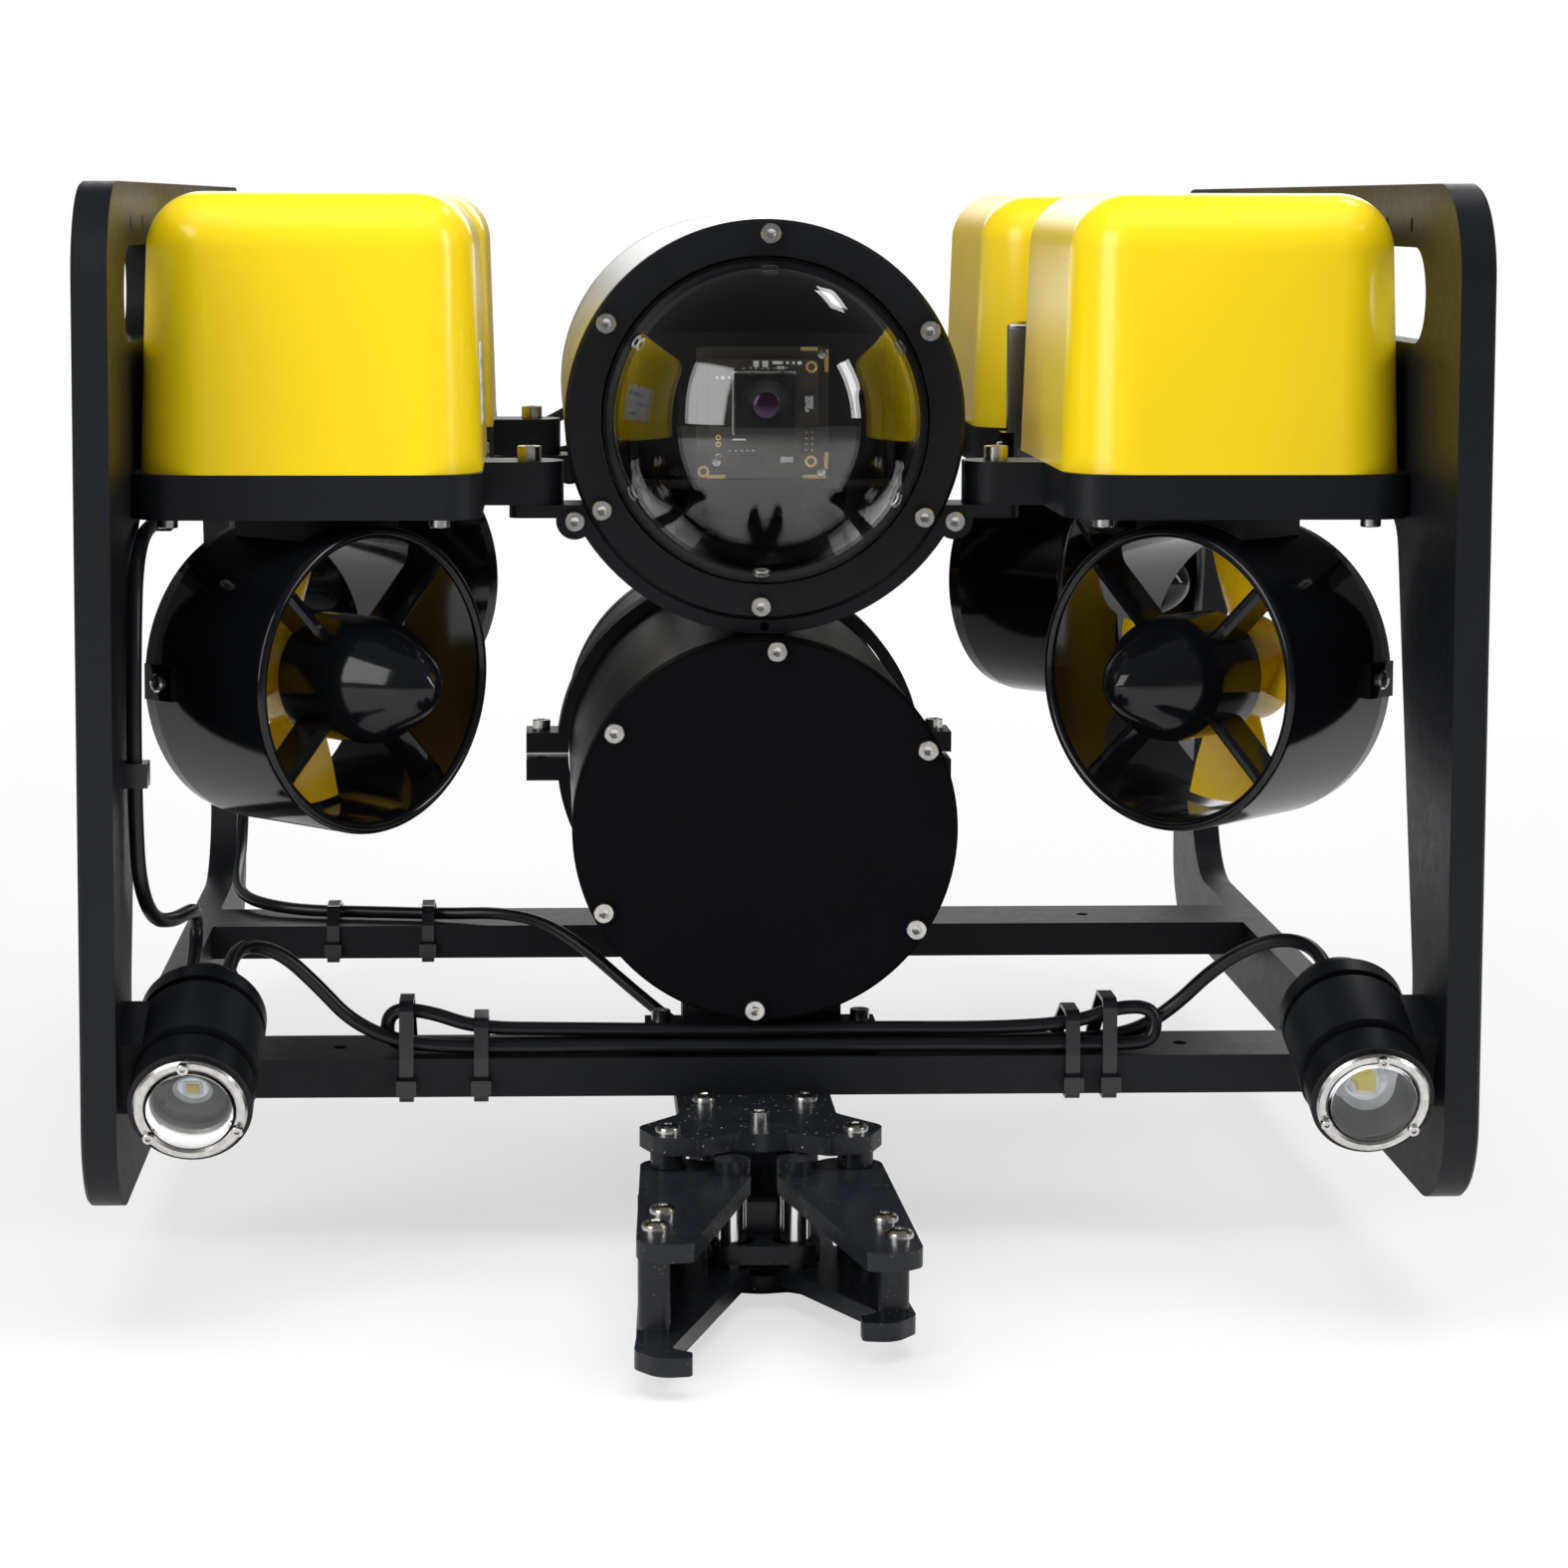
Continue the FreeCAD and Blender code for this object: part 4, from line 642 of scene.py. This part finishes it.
def screws(name, head_mesh, places, body=FRAME, seed=1):
    """One piece of all the screws of a kind; places are (position, outward) pairs."""
    head = bpy.data.objects.new(name + "_head", head_mesh)
    dots = bpy.data.meshes.new(name + "_places")
    dots.from_pydata([position for position, outward in places], [], [])
    aim = dots.attributes.new("aim", "FLOAT_VECTOR", "POINT")
    aim.data.foreach_set("vector", [part for position, outward in places for part in outward])
    mesh = grown(name, dots, screw_tree(name + "_tree", head, STEEL),
                 {"Size": 1.0, "Largest Turn": math.tau, "Seed": seed})
    bpy.data.objects.remove(head)
    return finished(name, mesh, STEEL, body)


def bolt_circle(count, radius, turn, centre, outward):
    """Places on a circle in the XZ plane, the first one turn degrees past the top."""
    places = []
    for i in range(count):
        angle = math.radians(turn + 360 * i / count)
        offset = Vector((radius * math.sin(angle), 0, radius * math.cos(angle)))
        places.append((Vector(centre) + offset, outward))
    return places


def all_four(x, y, z, outward):
    """A place in one quarter of the frame and its mirror images in the other three."""
    return [(Vector((sx * x, FRAME_MIDDLE + sy * (y - FRAME_MIDDLE), z)), outward)
            for sx in (1, -1) for sy in (1, -1)]


def both_sides(x, y, z, outward):
    """A place on the left and its mirror image on the right."""
    return [(Vector((side * x, y, z)), outward) for side in (-1, 1)]


FRAME_MIDDLE = middle_of("side_plate_left").y
M4_HEAD = (0.0035, 0.004, 0.003, 0.0022)    # radius, height, across the socket, its depth
M5_HEAD = (0.00425, 0.005, 0.004, 0.0028)
SADDLE_CIRCLE = 0.075                       # radius of the circle of screws in the saddles' lugs
SADDLE_TURNS = (118, 242)                   # their places on it, in degrees from the top
SEAT_SCREW_Y = 0.1145                       # the battery seats' screws, each way from the origin
SUNK_DEPTH = 0.0053                         # of the screw heads' seats in the side plates
SHELF_SCREW_Y = (-0.159, -0.078)            # the front shelves' screws through the side plates
FLOAT_SCREW_X = (-0.112, -0.203)


def m4_places():
    """Screws of the dome's ring, the battery's cap, floats, band, saddles and battery seats."""
    ring, cap = middle_of("dome_flange"), middle_of("battery_front_cap")
    axis_height = ring.z
    ring.y, cap.y = low_corner("dome_flange").y, low_corner("battery_front_cap").y
    places = bolt_circle(6, 0.0648, 1.3, ring, FORWARDS)
    places += bolt_circle(6, 0.063, 3.3, cap, FORWARDS)
    shelf, clamp = low_corner("shelf_front_left"), middle_of("battery_clamp")
    for x in FLOAT_SCREW_X:
        places += all_four(x, shelf.y + 0.020, shelf.z, DOWN)
    places += both_sides(0.078, clamp.y, clamp.z + 0.0095, UP)
    saddle_ends = ((low_corner("electronics_saddles").y, FORWARDS),
                   (high_corner("electronics_saddles").y, BACKWARDS))
    for y, aim in saddle_ends:
        for turn in SADDLE_TURNS:
            angle = math.radians(turn)
            spot = Vector((SADDLE_CIRCLE * math.sin(angle), y,
                           axis_height + SADDLE_CIRCLE * math.cos(angle)))
            places.append((spot, aim))
    for y in (-SEAT_SCREW_Y, SEAT_SCREW_Y):
        places += both_sides(0.0355, y, high_corner("front_beam").z + 0.007, UP)
    return places


def plate_places():
    """Screws sunk into the side plates, at the shelves and at the beams' ends."""
    shelf_height, beam_height = middle_of("shelf_front_left").z, middle_of("front_beam").z
    seat_x = high_corner("side_plate_right").x - SUNK_DEPTH
    places = []
    for side in (-1, 1):
        outward = (side, 0, 0)
        rows = [(FRAME_MIDDLE + sy * (y - FRAME_MIDDLE), shelf_height)
                for y in SHELF_SCREW_Y for sy in (1, -1)]
        for name in ("front_beam", "rear_beam"):
            rows += [(low_corner(name).y + 0.009, beam_height),
                     (high_corner(name).y - 0.009, beam_height)]
        places += [(Vector((side * seat_x, y, z)), outward) for y, z in rows]
    return places


def frame_screws():
    """The frame's three kinds of screw."""
    heads = screws("cap_screw_heads", socket_head(*M4_HEAD), m4_places(), seed=3)
    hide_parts("cap_screws")
    ears = all_four(-0.082, -0.118, high_corner("shelf_front_left").z, UP)
    screws("shelf_bolts", socket_head(*M5_HEAD), ears, seed=5)
    screws("plate_screws", socket_head(*M5_HEAD), plate_places(), seed=7)


def gripper_screws():
    """Button heads on the plate and jaws, and the taller screw in the plate's middle."""
    x, top = -0.004, high_corner("gripper_plates").z
    jaw_top = top - 0.0115
    buttons = [(Vector((x + side * reach, y, top)), UP)
               for reach, y in ((0.0175, -0.1526), (0.0315, -0.196)) for side in (-1, 1)]
    screws("gripper_buttons", socket_head(0.0044, 0.003, 0.0025, 0.0016, 0.0017), buttons, seed=11)
    screws("gripper_centre_screw", socket_head(*M4_HEAD), [(Vector((x, -0.182, top)), UP)], seed=13)
    for name, side, near, far in (("left", -1, -0.257, -0.276), ("right", 1, -0.2685, -0.2875)):
        heads = [(Vector((x + side * 0.035, near, jaw_top)), UP),
                 (Vector((x + side * 0.038, far, jaw_top)), UP)]
        screws("jaw_screws_" + name, socket_head(0.0045, 0.0031, 0.0026, 0.0011, 0.0017), heads,
               body="jaw_" + name, seed=37 + side)


def duct_screws():
    """The cross-headed screw on the boss of each duct."""
    reach, back = 0.0545, -0.019        # of the boss, from the duct's axis and from its middle
    duct_x, duct_z, lift_z = 0.154, 0.1507, 0.235
    places = []
    for side in (-1, 1):
        for y, yaw in ((-0.157, 45), (0.186, -45)):
            turn = math.radians(yaw)
            nose = Vector((math.sin(turn), -math.cos(turn), 0))
            out = Vector((-math.cos(turn), -math.sin(turn), 0))
            at = Vector((-duct_x, y, duct_z)) + out * reach + nose * back
            if side > 0:
                at.x, out.x = -at.x, -out.x
            places.append((at, out))
        places.append((Vector((side * (duct_x - reach), FRAME_MIDDLE, lift_z + back)),
                       (-side, 0, 0)))
    screws("duct_screws", cross_head(0.0032, 0.0016), places, seed=17)


frame_screws()
gripper_screws()
duct_screws()


# ---------------------------------------------------------------- leads

SUPPLY_ROUTE = [
    (-0.04, 0.187, 0.2357), (-0.04, 0.204, 0.2357), (-0.053, 0.22, 0.228), (-0.074, 0.228, 0.215),
    (-0.097, 0.2315, 0.205), (-0.128, 0.2325, 0.201), (-0.164, 0.232, 0.2016), (-0.19, 0.231, 0.2012),
    (-0.205, 0.223, 0.2013), (-0.2103, 0.204, 0.2014), (-0.2106, 0.168, 0.2016),
    (-0.2102, 0.114, 0.2012), (-0.2106, 0.058, 0.2016), (-0.2102, 0.004, 0.201),
    (-0.2105, -0.052, 0.2014), (-0.2102, -0.106, 0.2016), (-0.2105, -0.152, 0.2013),
    (-0.2104, -0.182, 0.2004), (-0.2105, -0.204, 0.1915), (-0.2102, -0.214, 0.172),
    (-0.2104, -0.2166, 0.142), (-0.2102, -0.2158, 0.108), (-0.2094, -0.2135, 0.088),
    (-0.2065, -0.202, 0.0745), (-0.202, -0.186, 0.0708), (-0.198, -0.172, 0.0709),
    (-0.1962, -0.161, 0.07), (-0.1962, -0.1565, 0.063), (-0.1962, -0.1616, 0.0559),
    (-0.1962, -0.1768, 0.0504)]

LINK_ROUTE = [
    (-0.1838, -0.1768, 0.0504), (-0.1838, -0.1655, 0.0545), (-0.179, -0.1535, 0.0565),
    (-0.168, -0.144, 0.0515), (-0.156, -0.1395, 0.039), (-0.144, -0.138, 0.0255),
    (-0.126, -0.1388, 0.018), (-0.098, -0.1391, 0.0166), (-0.052, -0.1394, 0.0171),
    (0.005, -0.1391, 0.0165), (0.058, -0.1394, 0.017), (0.094, -0.139, 0.0165),
    (0.114, -0.1392, 0.0169), (0.126, -0.1389, 0.0166), (0.1375, -0.1382, 0.0176),
    (0.138, -0.1368, 0.0292), (0.1245, -0.1361, 0.0293), (0.11, -0.1357, 0.0236),
    (0.082, -0.1359, 0.0219), (0.034, -0.1356, 0.0222), (-0.022, -0.1359, 0.0217),
    (-0.072, -0.1355, 0.0223), (-0.101, -0.1358, 0.0229), (-0.118, -0.135, 0.0289),
    (-0.1315, -0.1334, 0.0292), (-0.1323, -0.1327, 0.0174), (-0.121, -0.1324, 0.0167),
    (-0.103, -0.1327, 0.0165), (-0.072, -0.1325, 0.0169), (-0.022, -0.1328, 0.0165),
    (0.034, -0.1326, 0.0169), (0.082, -0.1327, 0.0166), (0.112, -0.1316, 0.0165),
    (0.132, -0.1304, 0.019), (0.146, -0.132, 0.029), (0.157, -0.138, 0.042), (0.169, -0.145, 0.052),
    (0.181, -0.153, 0.057), (0.19, -0.1646, 0.0548), (0.19, -0.1768, 0.0504)]

GRIP_ROUTE = [
    (-0.004, 0.007, -0.0273), (-0.004, 0.021, -0.0273), (-0.0115, 0.038, -0.0235),
    (-0.027, 0.054, -0.0155), (-0.044, 0.069, -0.004), (-0.06, 0.082, 0.008), (-0.077, 0.094, 0.017),
    (-0.095, 0.106, 0.0186), (-0.118, 0.114, 0.0166), (-0.152, 0.119, 0.0167),
    (-0.178, 0.123, 0.0166), (-0.197, 0.133, 0.018), (-0.206, 0.154, 0.0185),
    (-0.2096, 0.184, 0.0195), (-0.2102, 0.212, 0.026), (-0.2105, 0.23, 0.042),
    (-0.2104, 0.238, 0.068), (-0.2106, 0.2395, 0.106), (-0.2104, 0.2386, 0.144),
    (-0.2098, 0.2384, 0.172), (-0.205, 0.2388, 0.189), (-0.19, 0.239, 0.1965), (-0.16, 0.2392, 0.197),
    (-0.126, 0.2388, 0.1958), (-0.098, 0.2375, 0.1966), (-0.074, 0.232, 0.2),
    (-0.055, 0.221, 0.2055), (-0.042, 0.204, 0.21), (-0.042, 0.187, 0.21)]

LEAD_DIAMETER = 0.005


def lead(name, node, route):
    """A round lead on one smooth curve, held at both ends by glands."""
    line = bpy.data.curves.new(name, "CURVE")
    line.dimensions = "3D"
    line.bevel_depth = LEAD_DIAMETER / 2
    line.bevel_resolution = 4
    line.resolution_u = 8
    line.use_fill_caps = True
    spline = line.splines.new("NURBS")
    spline.points.add(len(route) - 1)
    for point, (x, y, z) in zip(spline.points, route):
        point.co = (x, y, z, 1)
    spline.order_u = 3
    spline.use_endpoint_u = True
    line.materials.append(JACKET)
    made = bpy.data.objects.new(name, line)
    bpy.context.scene.collection.objects.link(made)
    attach(made, FRAME)
    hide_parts(node)
    return made


lead("lamp_supply_lead", "supply_cable", SUPPLY_ROUTE)
lead("lamp_link_lead", "link_cable", LINK_ROUTE)
lead("gripper_lead", "grip_cable", GRIP_ROUTE)


# ---------------------------------------------------------------- lamps

LAMP_TILT = math.radians(20)
LAMP_FRONT = Vector((0.190, -0.252, 0.023))
LENS_START, LENS_RISE = 0.0022, 0.0031      # where the lens starts to curve in, and its crown
LENS_RADIUS, LENS_LEAST = 0.0141, 0.0001    # and the ring that closes it at the pole
LAMP_RIM = ((0.0, 0.0149), (0.0, 0.0184), (0.0016, 0.0184), (0.0024, 0.0177), (0.0025, 0.0158),
            (0.0019, 0.0149))
LAMP_CONE = ((-0.0021, 0.0125), (-0.0060, 0.0098), (-0.0108, 0.0060), (-0.0109, 0.0001),
             (-0.0110, 0.0001), (-0.0110, 0.0062), (-0.0061, 0.0100), (-0.0021, 0.0127))
LAMP_SCREW_TURNS = (35, 155, 275)
LAMP_SCREW_CIRCLE = 0.0165


def lamp_place(side):
    """Z looks out of the lamp's front, X to its outer side."""
    back = Vector((0, math.cos(LAMP_TILT), math.sin(LAMP_TILT)))
    across = Vector((side, 0, 0))
    up = back.cross(Vector((1, 0, 0)))
    place = Matrix((across, -up, -back)).transposed().to_4x4()
    place.translation = Vector((side * LAMP_FRONT.x, LAMP_FRONT.y, LAMP_FRONT.z))
    return place


def lamp(name, side):
    """Lens, bezel with its screws, reflector and light source of one lamp."""
    place = lamp_place(side)
    lens = [(-0.0020, LENS_LEAST), (-0.0020, 0.0120), (-0.0019, LENS_RADIUS),
            (LENS_START, LENS_RADIUS)]
    for i in range(1, 9):
        turn = math.radians(90 * i / 8)
        lens.append((LENS_START + LENS_RISE * math.sin(turn),
                     LENS_RADIUS * math.cos(turn) + LENS_LEAST))
    glass = finished("lamp_lens_" + name, turned("lamp_lens", lens, place), LAMP_GLASS, FRAME)
    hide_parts("light_lens_" + name)
    bezel = finished("lamp_bezel_" + name, turned_ring("lamp_bezel", LAMP_RIM, place), STEEL, FRAME)
    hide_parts("light_bezel_" + name)
    posts = []
    for turn in LAMP_SCREW_TURNS:
        angle = math.radians(turn)
        spot = Vector((LAMP_SCREW_CIRCLE * math.cos(angle), -LAMP_SCREW_CIRCLE * math.sin(angle),
                       0.0024))
        posts.append((place @ spot, place.to_3x3() @ Vector(UP)))
    screws("lamp_screws_" + name, socket_head(0.0019, 0.0019, 0.0014, 0.0010), posts,
           seed=19 + side)
    finished("lamp_reflector_" + name, turned_ring("lamp_reflector", LAMP_CONE, place), REFLECTOR,
             FRAME)
    base = place @ Matrix.Translation((0, 0, -0.0108))
    finished("lamp_chip_frame_" + name, slab("chip_frame", 0.0072, 0.0072, 0.0012, 0.0002, base),
             PALE_PRINT, FRAME)
    finished("lamp_chip_" + name, slab("chip", 0.0048, 0.0048, 0.0018, 0.0003, base), PHOSPHOR,
             FRAME)


for lamp_name, lamp_side in SIDES:
    lamp(lamp_name, lamp_side)


# ---------------------------------------------------------------- camera behind the dome

REAR_HALF, FRONT_HALF = 0.0235, 0.0195      # half the width of each circuit board
BOARD_THICKNESS = 0.0016
BOARD_FALL = 0.0039                         # the boards' middle lies this far below the lens
REAR_DROP = 0.009                           # how far the rear board's face lies behind the front
BULKHEAD_DROP = 0.021
PRINT = 0.0001                              # thickness of pads and printed marks


def on_board(x, z, lift=0.0):
    """A place on the front circuit board's face; Z looks forwards."""
    centre = middle_of("camera_board") + Vector((0, 0, z - BOARD_FALL))
    centre.x, centre.y = x, low_corner("camera_board").y - lift
    return Matrix.Translation(centre) @ Matrix.Rotation(math.pi / 2, 4, "X")


def printed(x, z, wide, high, drop=0.0):
    """A thin pad or mark on the front board, or on the rear one with its drop."""
    return slab("print", wide, high, PRINT, PRINT / 5, on_board(x, z, -drop))


def circuit_boards():
    """The two boards and the posts between them."""
    stack = []
    for half, drop in ((FRONT_HALF, 0.0), (REAR_HALF, REAR_DROP)):
        stack.append(slab("board", 2 * half, 2 * half, BOARD_THICKNESS, 0.0002,
                          on_board(0, 0, -drop - BOARD_THICKNESS)))
    for reach, start, end in ((FRONT_HALF - 0.0029, BOARD_THICKNESS, REAR_DROP),
                              (REAR_HALF - 0.004, REAR_DROP + BOARD_THICKNESS, BULKHEAD_DROP)):
        for x, z in ((-1, -1), (-1, 1), (1, -1), (1, 1)):
            stack.append(turned("post", [(0, 0.0022), (end - start, 0.0022)],
                                on_board(x * reach, z * reach, -end), 16))
    boards = finished("circuit_boards", join("circuit_boards", stack), BOARD, FRAME)
    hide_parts("camera_board")


def board_details():
    """Gold pads and pins, printed marks, chips, metal cans and screws on the boards."""
    def ring(x, z, inner, outer, steps, drop=0.0):
        profile = [(0, inner), (0, outer), (0.0002, outer), (0.0002, inner)]
        return turned_ring("pad", profile, on_board(x, z, -drop), steps)
    far, near, edge = REAR_HALF - 0.0026, FRONT_HALF - 0.0029, REAR_HALF - 0.0008
    gold = [ring(near, near, 0.0012, 0.0021, 24), ring(near, -near, 0.0012, 0.0021, 24),
            ring(-far, -far, 0.0012, 0.0021, 24, REAR_DROP)]
    for x, z, wide, high in ((-0.0165, -edge, 0.0066, 0.0013), (0.0185, -edge, 0.0085, 0.0013),
                             (edge, 0.0185, 0.0014, 0.0080), (edge, -0.0170, 0.0014, 0.0060),
                             (0.0165, edge, 0.0060, 0.0013)):
        gold.append(printed(x, z, wide, high, REAR_DROP))
    for step in (0.0, 0.0024, 0.0066):
        gold.append(ring(-0.0160, -0.0082 - step, 0.0005, 0.0010, 16))
    for column in range(2):
        for row in range(4):
            spot = on_board(0.0148 + 0.0021 * column, -0.0062 - 0.0021 * row)
            gold.append(slab("pin", 0.0007, 0.0007, 0.0026, 0.0001, spot))
    finished("board_gold", join("board_gold", gold), GOLD, FRAME)

    marks = []
    for sign in (-1, 1):
        marks.append(printed(0, BOARD_FALL + sign * 0.0109, 0.0220, 0.0003))
        marks.append(printed(sign * 0.0109, BOARD_FALL, 0.0003, 0.0220))
    for x, z, wide, high in ((-0.0028, 0.0176, 0.0019, 0.0022), (0.0004, 0.0176, 0.0021, 0.0022),
                             (0.0044, 0.0180, 0.0030, 0.0011), (0.0058, 0.0163, 0.0026, 0.0010),
                             (-0.0086, -0.0089, 0.0046, 0.0006), (0.0152, 0.0012, 0.0012, 0.0008)):
        marks.append(printed(x, z, wide, high))
    finished("board_marks", join("board_marks", marks), PALE_PRINT, FRAME)

    chips = [slab("header", 0.0046, 0.0088, 0.0014, 0.0002, on_board(0.01585, -0.00935)),
             slab("chip", 0.0046, 0.0046, 0.0009, 0.0001, on_board(-0.0152, -0.0010)),
             slab("chip", 0.0070, 0.0028, 0.0010, 0.0001, on_board(-0.0040, -0.0158))]
    finished("board_chips", join("board_chips", chips), CHIP, FRAME)
    cans = [slab("crystal", 0.0034, 0.0050, 0.0014, 0.0003, on_board(0.0158, 0.0042)),
            slab("plug", 0.0050, 0.0026, 0.0018, 0.0003, on_board(0.0080, -0.0158))]
    finished("board_cans", join("board_cans", cans), SOLDER, FRAME)
    small_parts()
    corners = [(-near, -near, 0.0), (far, -far, -REAR_DROP), (far, far, -REAR_DROP)]
    screws("board_screws", cross_head(0.0019, 0.0011),
           [(on_board(*corner).translation, FORWARDS) for corner in corners], seed=23)


def camera_eye():
    """The rim and the curved front glass of the camera's lens."""
    reach = low_corner("camera_board").y - low_corner("camera_lens").y
    spot = on_board(0, BOARD_FALL, reach)
    rim = [(0.0, 0.0046), (0.0, 0.0089), (0.0005, 0.0089), (0.0005, 0.0056), (0.0002, 0.0046)]
    finished("lens_rim", turned_ring("lens_rim", rim, spot), CAMERA_BLACK, FRAME)
    front = [(0.0, 0.0001), (0.0, 0.0046)]
    for i in range(1, 7):
        turn = math.radians(15 * i)
        front.append((0.0012 * math.sin(turn), 0.0046 * math.cos(turn) + 0.00005))
    finished("lens_glass", turned("lens_glass", front, spot), GLASS_DARK, FRAME)


def small_parts():
    """Rows of resistors and capacitors along the board's edges."""
    rows = ((-0.0070, 0.0160, 8, SOLDER), (-0.0062, 0.0142, 7, CHIP), (-0.0120, -0.0128, 5, SOLDER),
            (0.0040, 0.0180, 5, PALE_PRINT), (-0.0165, 0.0128, 4, PALE_PRINT))
    upright = Matrix.Rotation(math.pi / 2, 4, "X")
    for index, (x, z, count, material) in enumerate(rows):
        name = "board_row_%d" % index
        part = bpy.data.objects.new(name + "_part",
                                    slab(name, 0.0014, 0.0009, 0.0005, 0.0001, upright))
        mesh = grown(name, bpy.data.meshes.new(name), row_tree(name + "_tree", part, material),
                     {"Start": tuple(on_board(x, z).translation), "Step": (0.0021, 0.0, 0.0),
                      "Count": count, "Seed": 31 + index})
        bpy.data.objects.remove(part)
        finished(name, mesh, material, FRAME)


def float_label():
    """A pale label with plain blocks on the inner side of the front left float."""
    low, high = low_corner("float_front_left"), high_corner("float_front_left")
    draft, side_height = 0.0032, 0.0934
    lean = math.atan(draft / side_height)
    turn = Matrix.Rotation(math.pi / 2 - lean, 4, "Y")
    middle_y, middle_z = -0.1425, 0.2493

    def on_float(dy, dz, lift):
        z = middle_z + dz
        x = high.x - math.tan(lean) * (z - low.z) + lift
        return Matrix.Translation((x, middle_y + dy, z)) @ turn
    finished("float_label", slab("float_label", 0.027, 0.035, 0.0002, 0.00005, on_float(0, 0, 0)),
             LABEL_WHITE, FRAME)
    blocks = [slab("block", tall, wide, PRINT, PRINT / 5, on_float(dy, dz, 0.0002))
              for dy, dz, wide, tall in ((0.004, 0.0065, 0.016, 0.0030),
                                         (-0.006, -0.001, 0.009, 0.0024),
                                         (0.005, -0.0085, 0.012, 0.0024))]
    finished("float_label_blocks", join("float_label_blocks", blocks), LABEL_BLUE, FRAME)


circuit_boards()
board_details()
camera_eye()
float_label()


# ---------------------------------------------------------------- camera, floor and light

MIRRORED = 0.15             # how bright the surroundings are in gloss and through glass
AMBIENT = 0.30              # and as a light


def pale_floor(name, colour):
    """A floor that shows its own pale colour to the camera and still takes the shadow."""
    f = Finish(name)
    seen = f.node("LightPath")
    away = f.node("VectorMath", {"operation": "LENGTH"}, {0: f.node("TexCoord", out=3)}, out=1)
    glow_share = f.ramp(away * 0.4, (0.12, 0.62), (0.55, 1.0))
    tone = f.mix(f.noise(0.5), grey(colour), grey(colour + 0.02))
    diffuse = f.node("BsdfDiffuse", {}, {"Color": tone})
    glow = f.node("Emission", {}, {"Color": grey(1.0), "Strength": 1.0})
    return f.end(f.node("MixShader", {}, {0: seen * glow_share, 1: diffuse, 2: glow}))


def floor():
    """A wide pale floor just under the vehicle."""
    reach, height = 6.0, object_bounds()[0][2] - 0.001
    corners = [(-reach, -reach, height), (reach, -reach, height), (reach, reach, height),
               (-reach, reach, height)]
    mesh = bpy.data.meshes.new("floor")
    mesh.from_pydata(corners, [], [(0, 1, 2, 3)])
    mesh.materials.append(pale_floor("floor", 0.86))
    made = bpy.data.objects.new("floor", mesh)
    bpy.context.scene.collection.objects.link(made)
    made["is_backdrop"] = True


def world():
    """White where it is seen directly, dimmer in gloss and through glass, dim as a light."""
    f = Finish("studio", bpy.data.worlds)
    seen = f.node("LightPath", out="Is Camera Ray")
    bounced = (f.node("LightPath", out="Is Glossy Ray")
               + f.node("LightPath", out="Is Transmission Ray"))
    level = seen * (1.0 - AMBIENT) + bounced * (MIRRORED - AMBIENT) + AMBIENT
    light = f.node("Background", {}, {"Color": grey(1.0), "Strength": level})
    bpy.context.scene.world = f.end(light, "OutputWorld")


def soft_light(name, position, target, width, height, power, mirrored=True):
    """A soft box; one that isn't mirrored lights the object without showing in its gloss."""
    data = bpy.data.lights.new(name, "AREA")
    data.shape = "RECTANGLE"
    data.size, data.size_y, data.energy = width, height, power
    made = bpy.data.objects.new(name, data)
    aim = (Vector(target) - Vector(position)).to_track_quat("-Z", "Y")
    made.matrix_world = Matrix.Translation(position) @ aim.to_matrix().to_4x4()
    made.visible_glossy = made.visible_transmission = mirrored
    bpy.context.scene.collection.objects.link(made)


def camera():
    """A little left of the middle and above, looking slightly down."""
    data = bpy.data.cameras.new("camera")
    data.lens, data.sensor_width = 87.5, 36.0
    data.shift_x, data.shift_y = 0.070, -0.150
    data.clip_start, data.clip_end = 0.05, 30
    made = bpy.data.objects.new("camera", data)
    yaw, pitch, roll = (math.radians(angle) for angle in (1.96, 5.15, 0.11))
    turn = (Matrix.Rotation(-yaw, 4, "Z") @ Matrix.Rotation(math.pi / 2 - pitch, 4, "X")
            @ Matrix.Rotation(roll, 4, "Z"))
    made.matrix_world = Matrix.Translation((-0.0768, -1.452, 0.310)) @ turn
    bpy.context.scene.collection.objects.link(made)
    bpy.context.scene.camera = made


floor()
world()
soft_light("overhead", (0.0, -0.45, 1.35), (0.0, 0.0, 0.1), 1.5, 0.9, 16, mirrored=False)
soft_light("window_left", (-1.05, -1.15, 0.72), (0.0, -0.1, 0.15), 0.8, 1.1, 12)
soft_light("window_right", (1.30, -0.72, 0.72), (0.0, -0.1, 0.15), 0.22, 0.9, 6)
soft_light("skylight", (0.55, 0.35, 1.15), (0.0, -0.1, 0.15), 0.30, 0.16, 0.9)
soft_light("back", (0.2, 1.5, 0.9), (0.0, 0.0, 0.15), 1.4, 0.8, 9)
camera()
bpy.context.scene.view_settings.view_transform = "Standard"
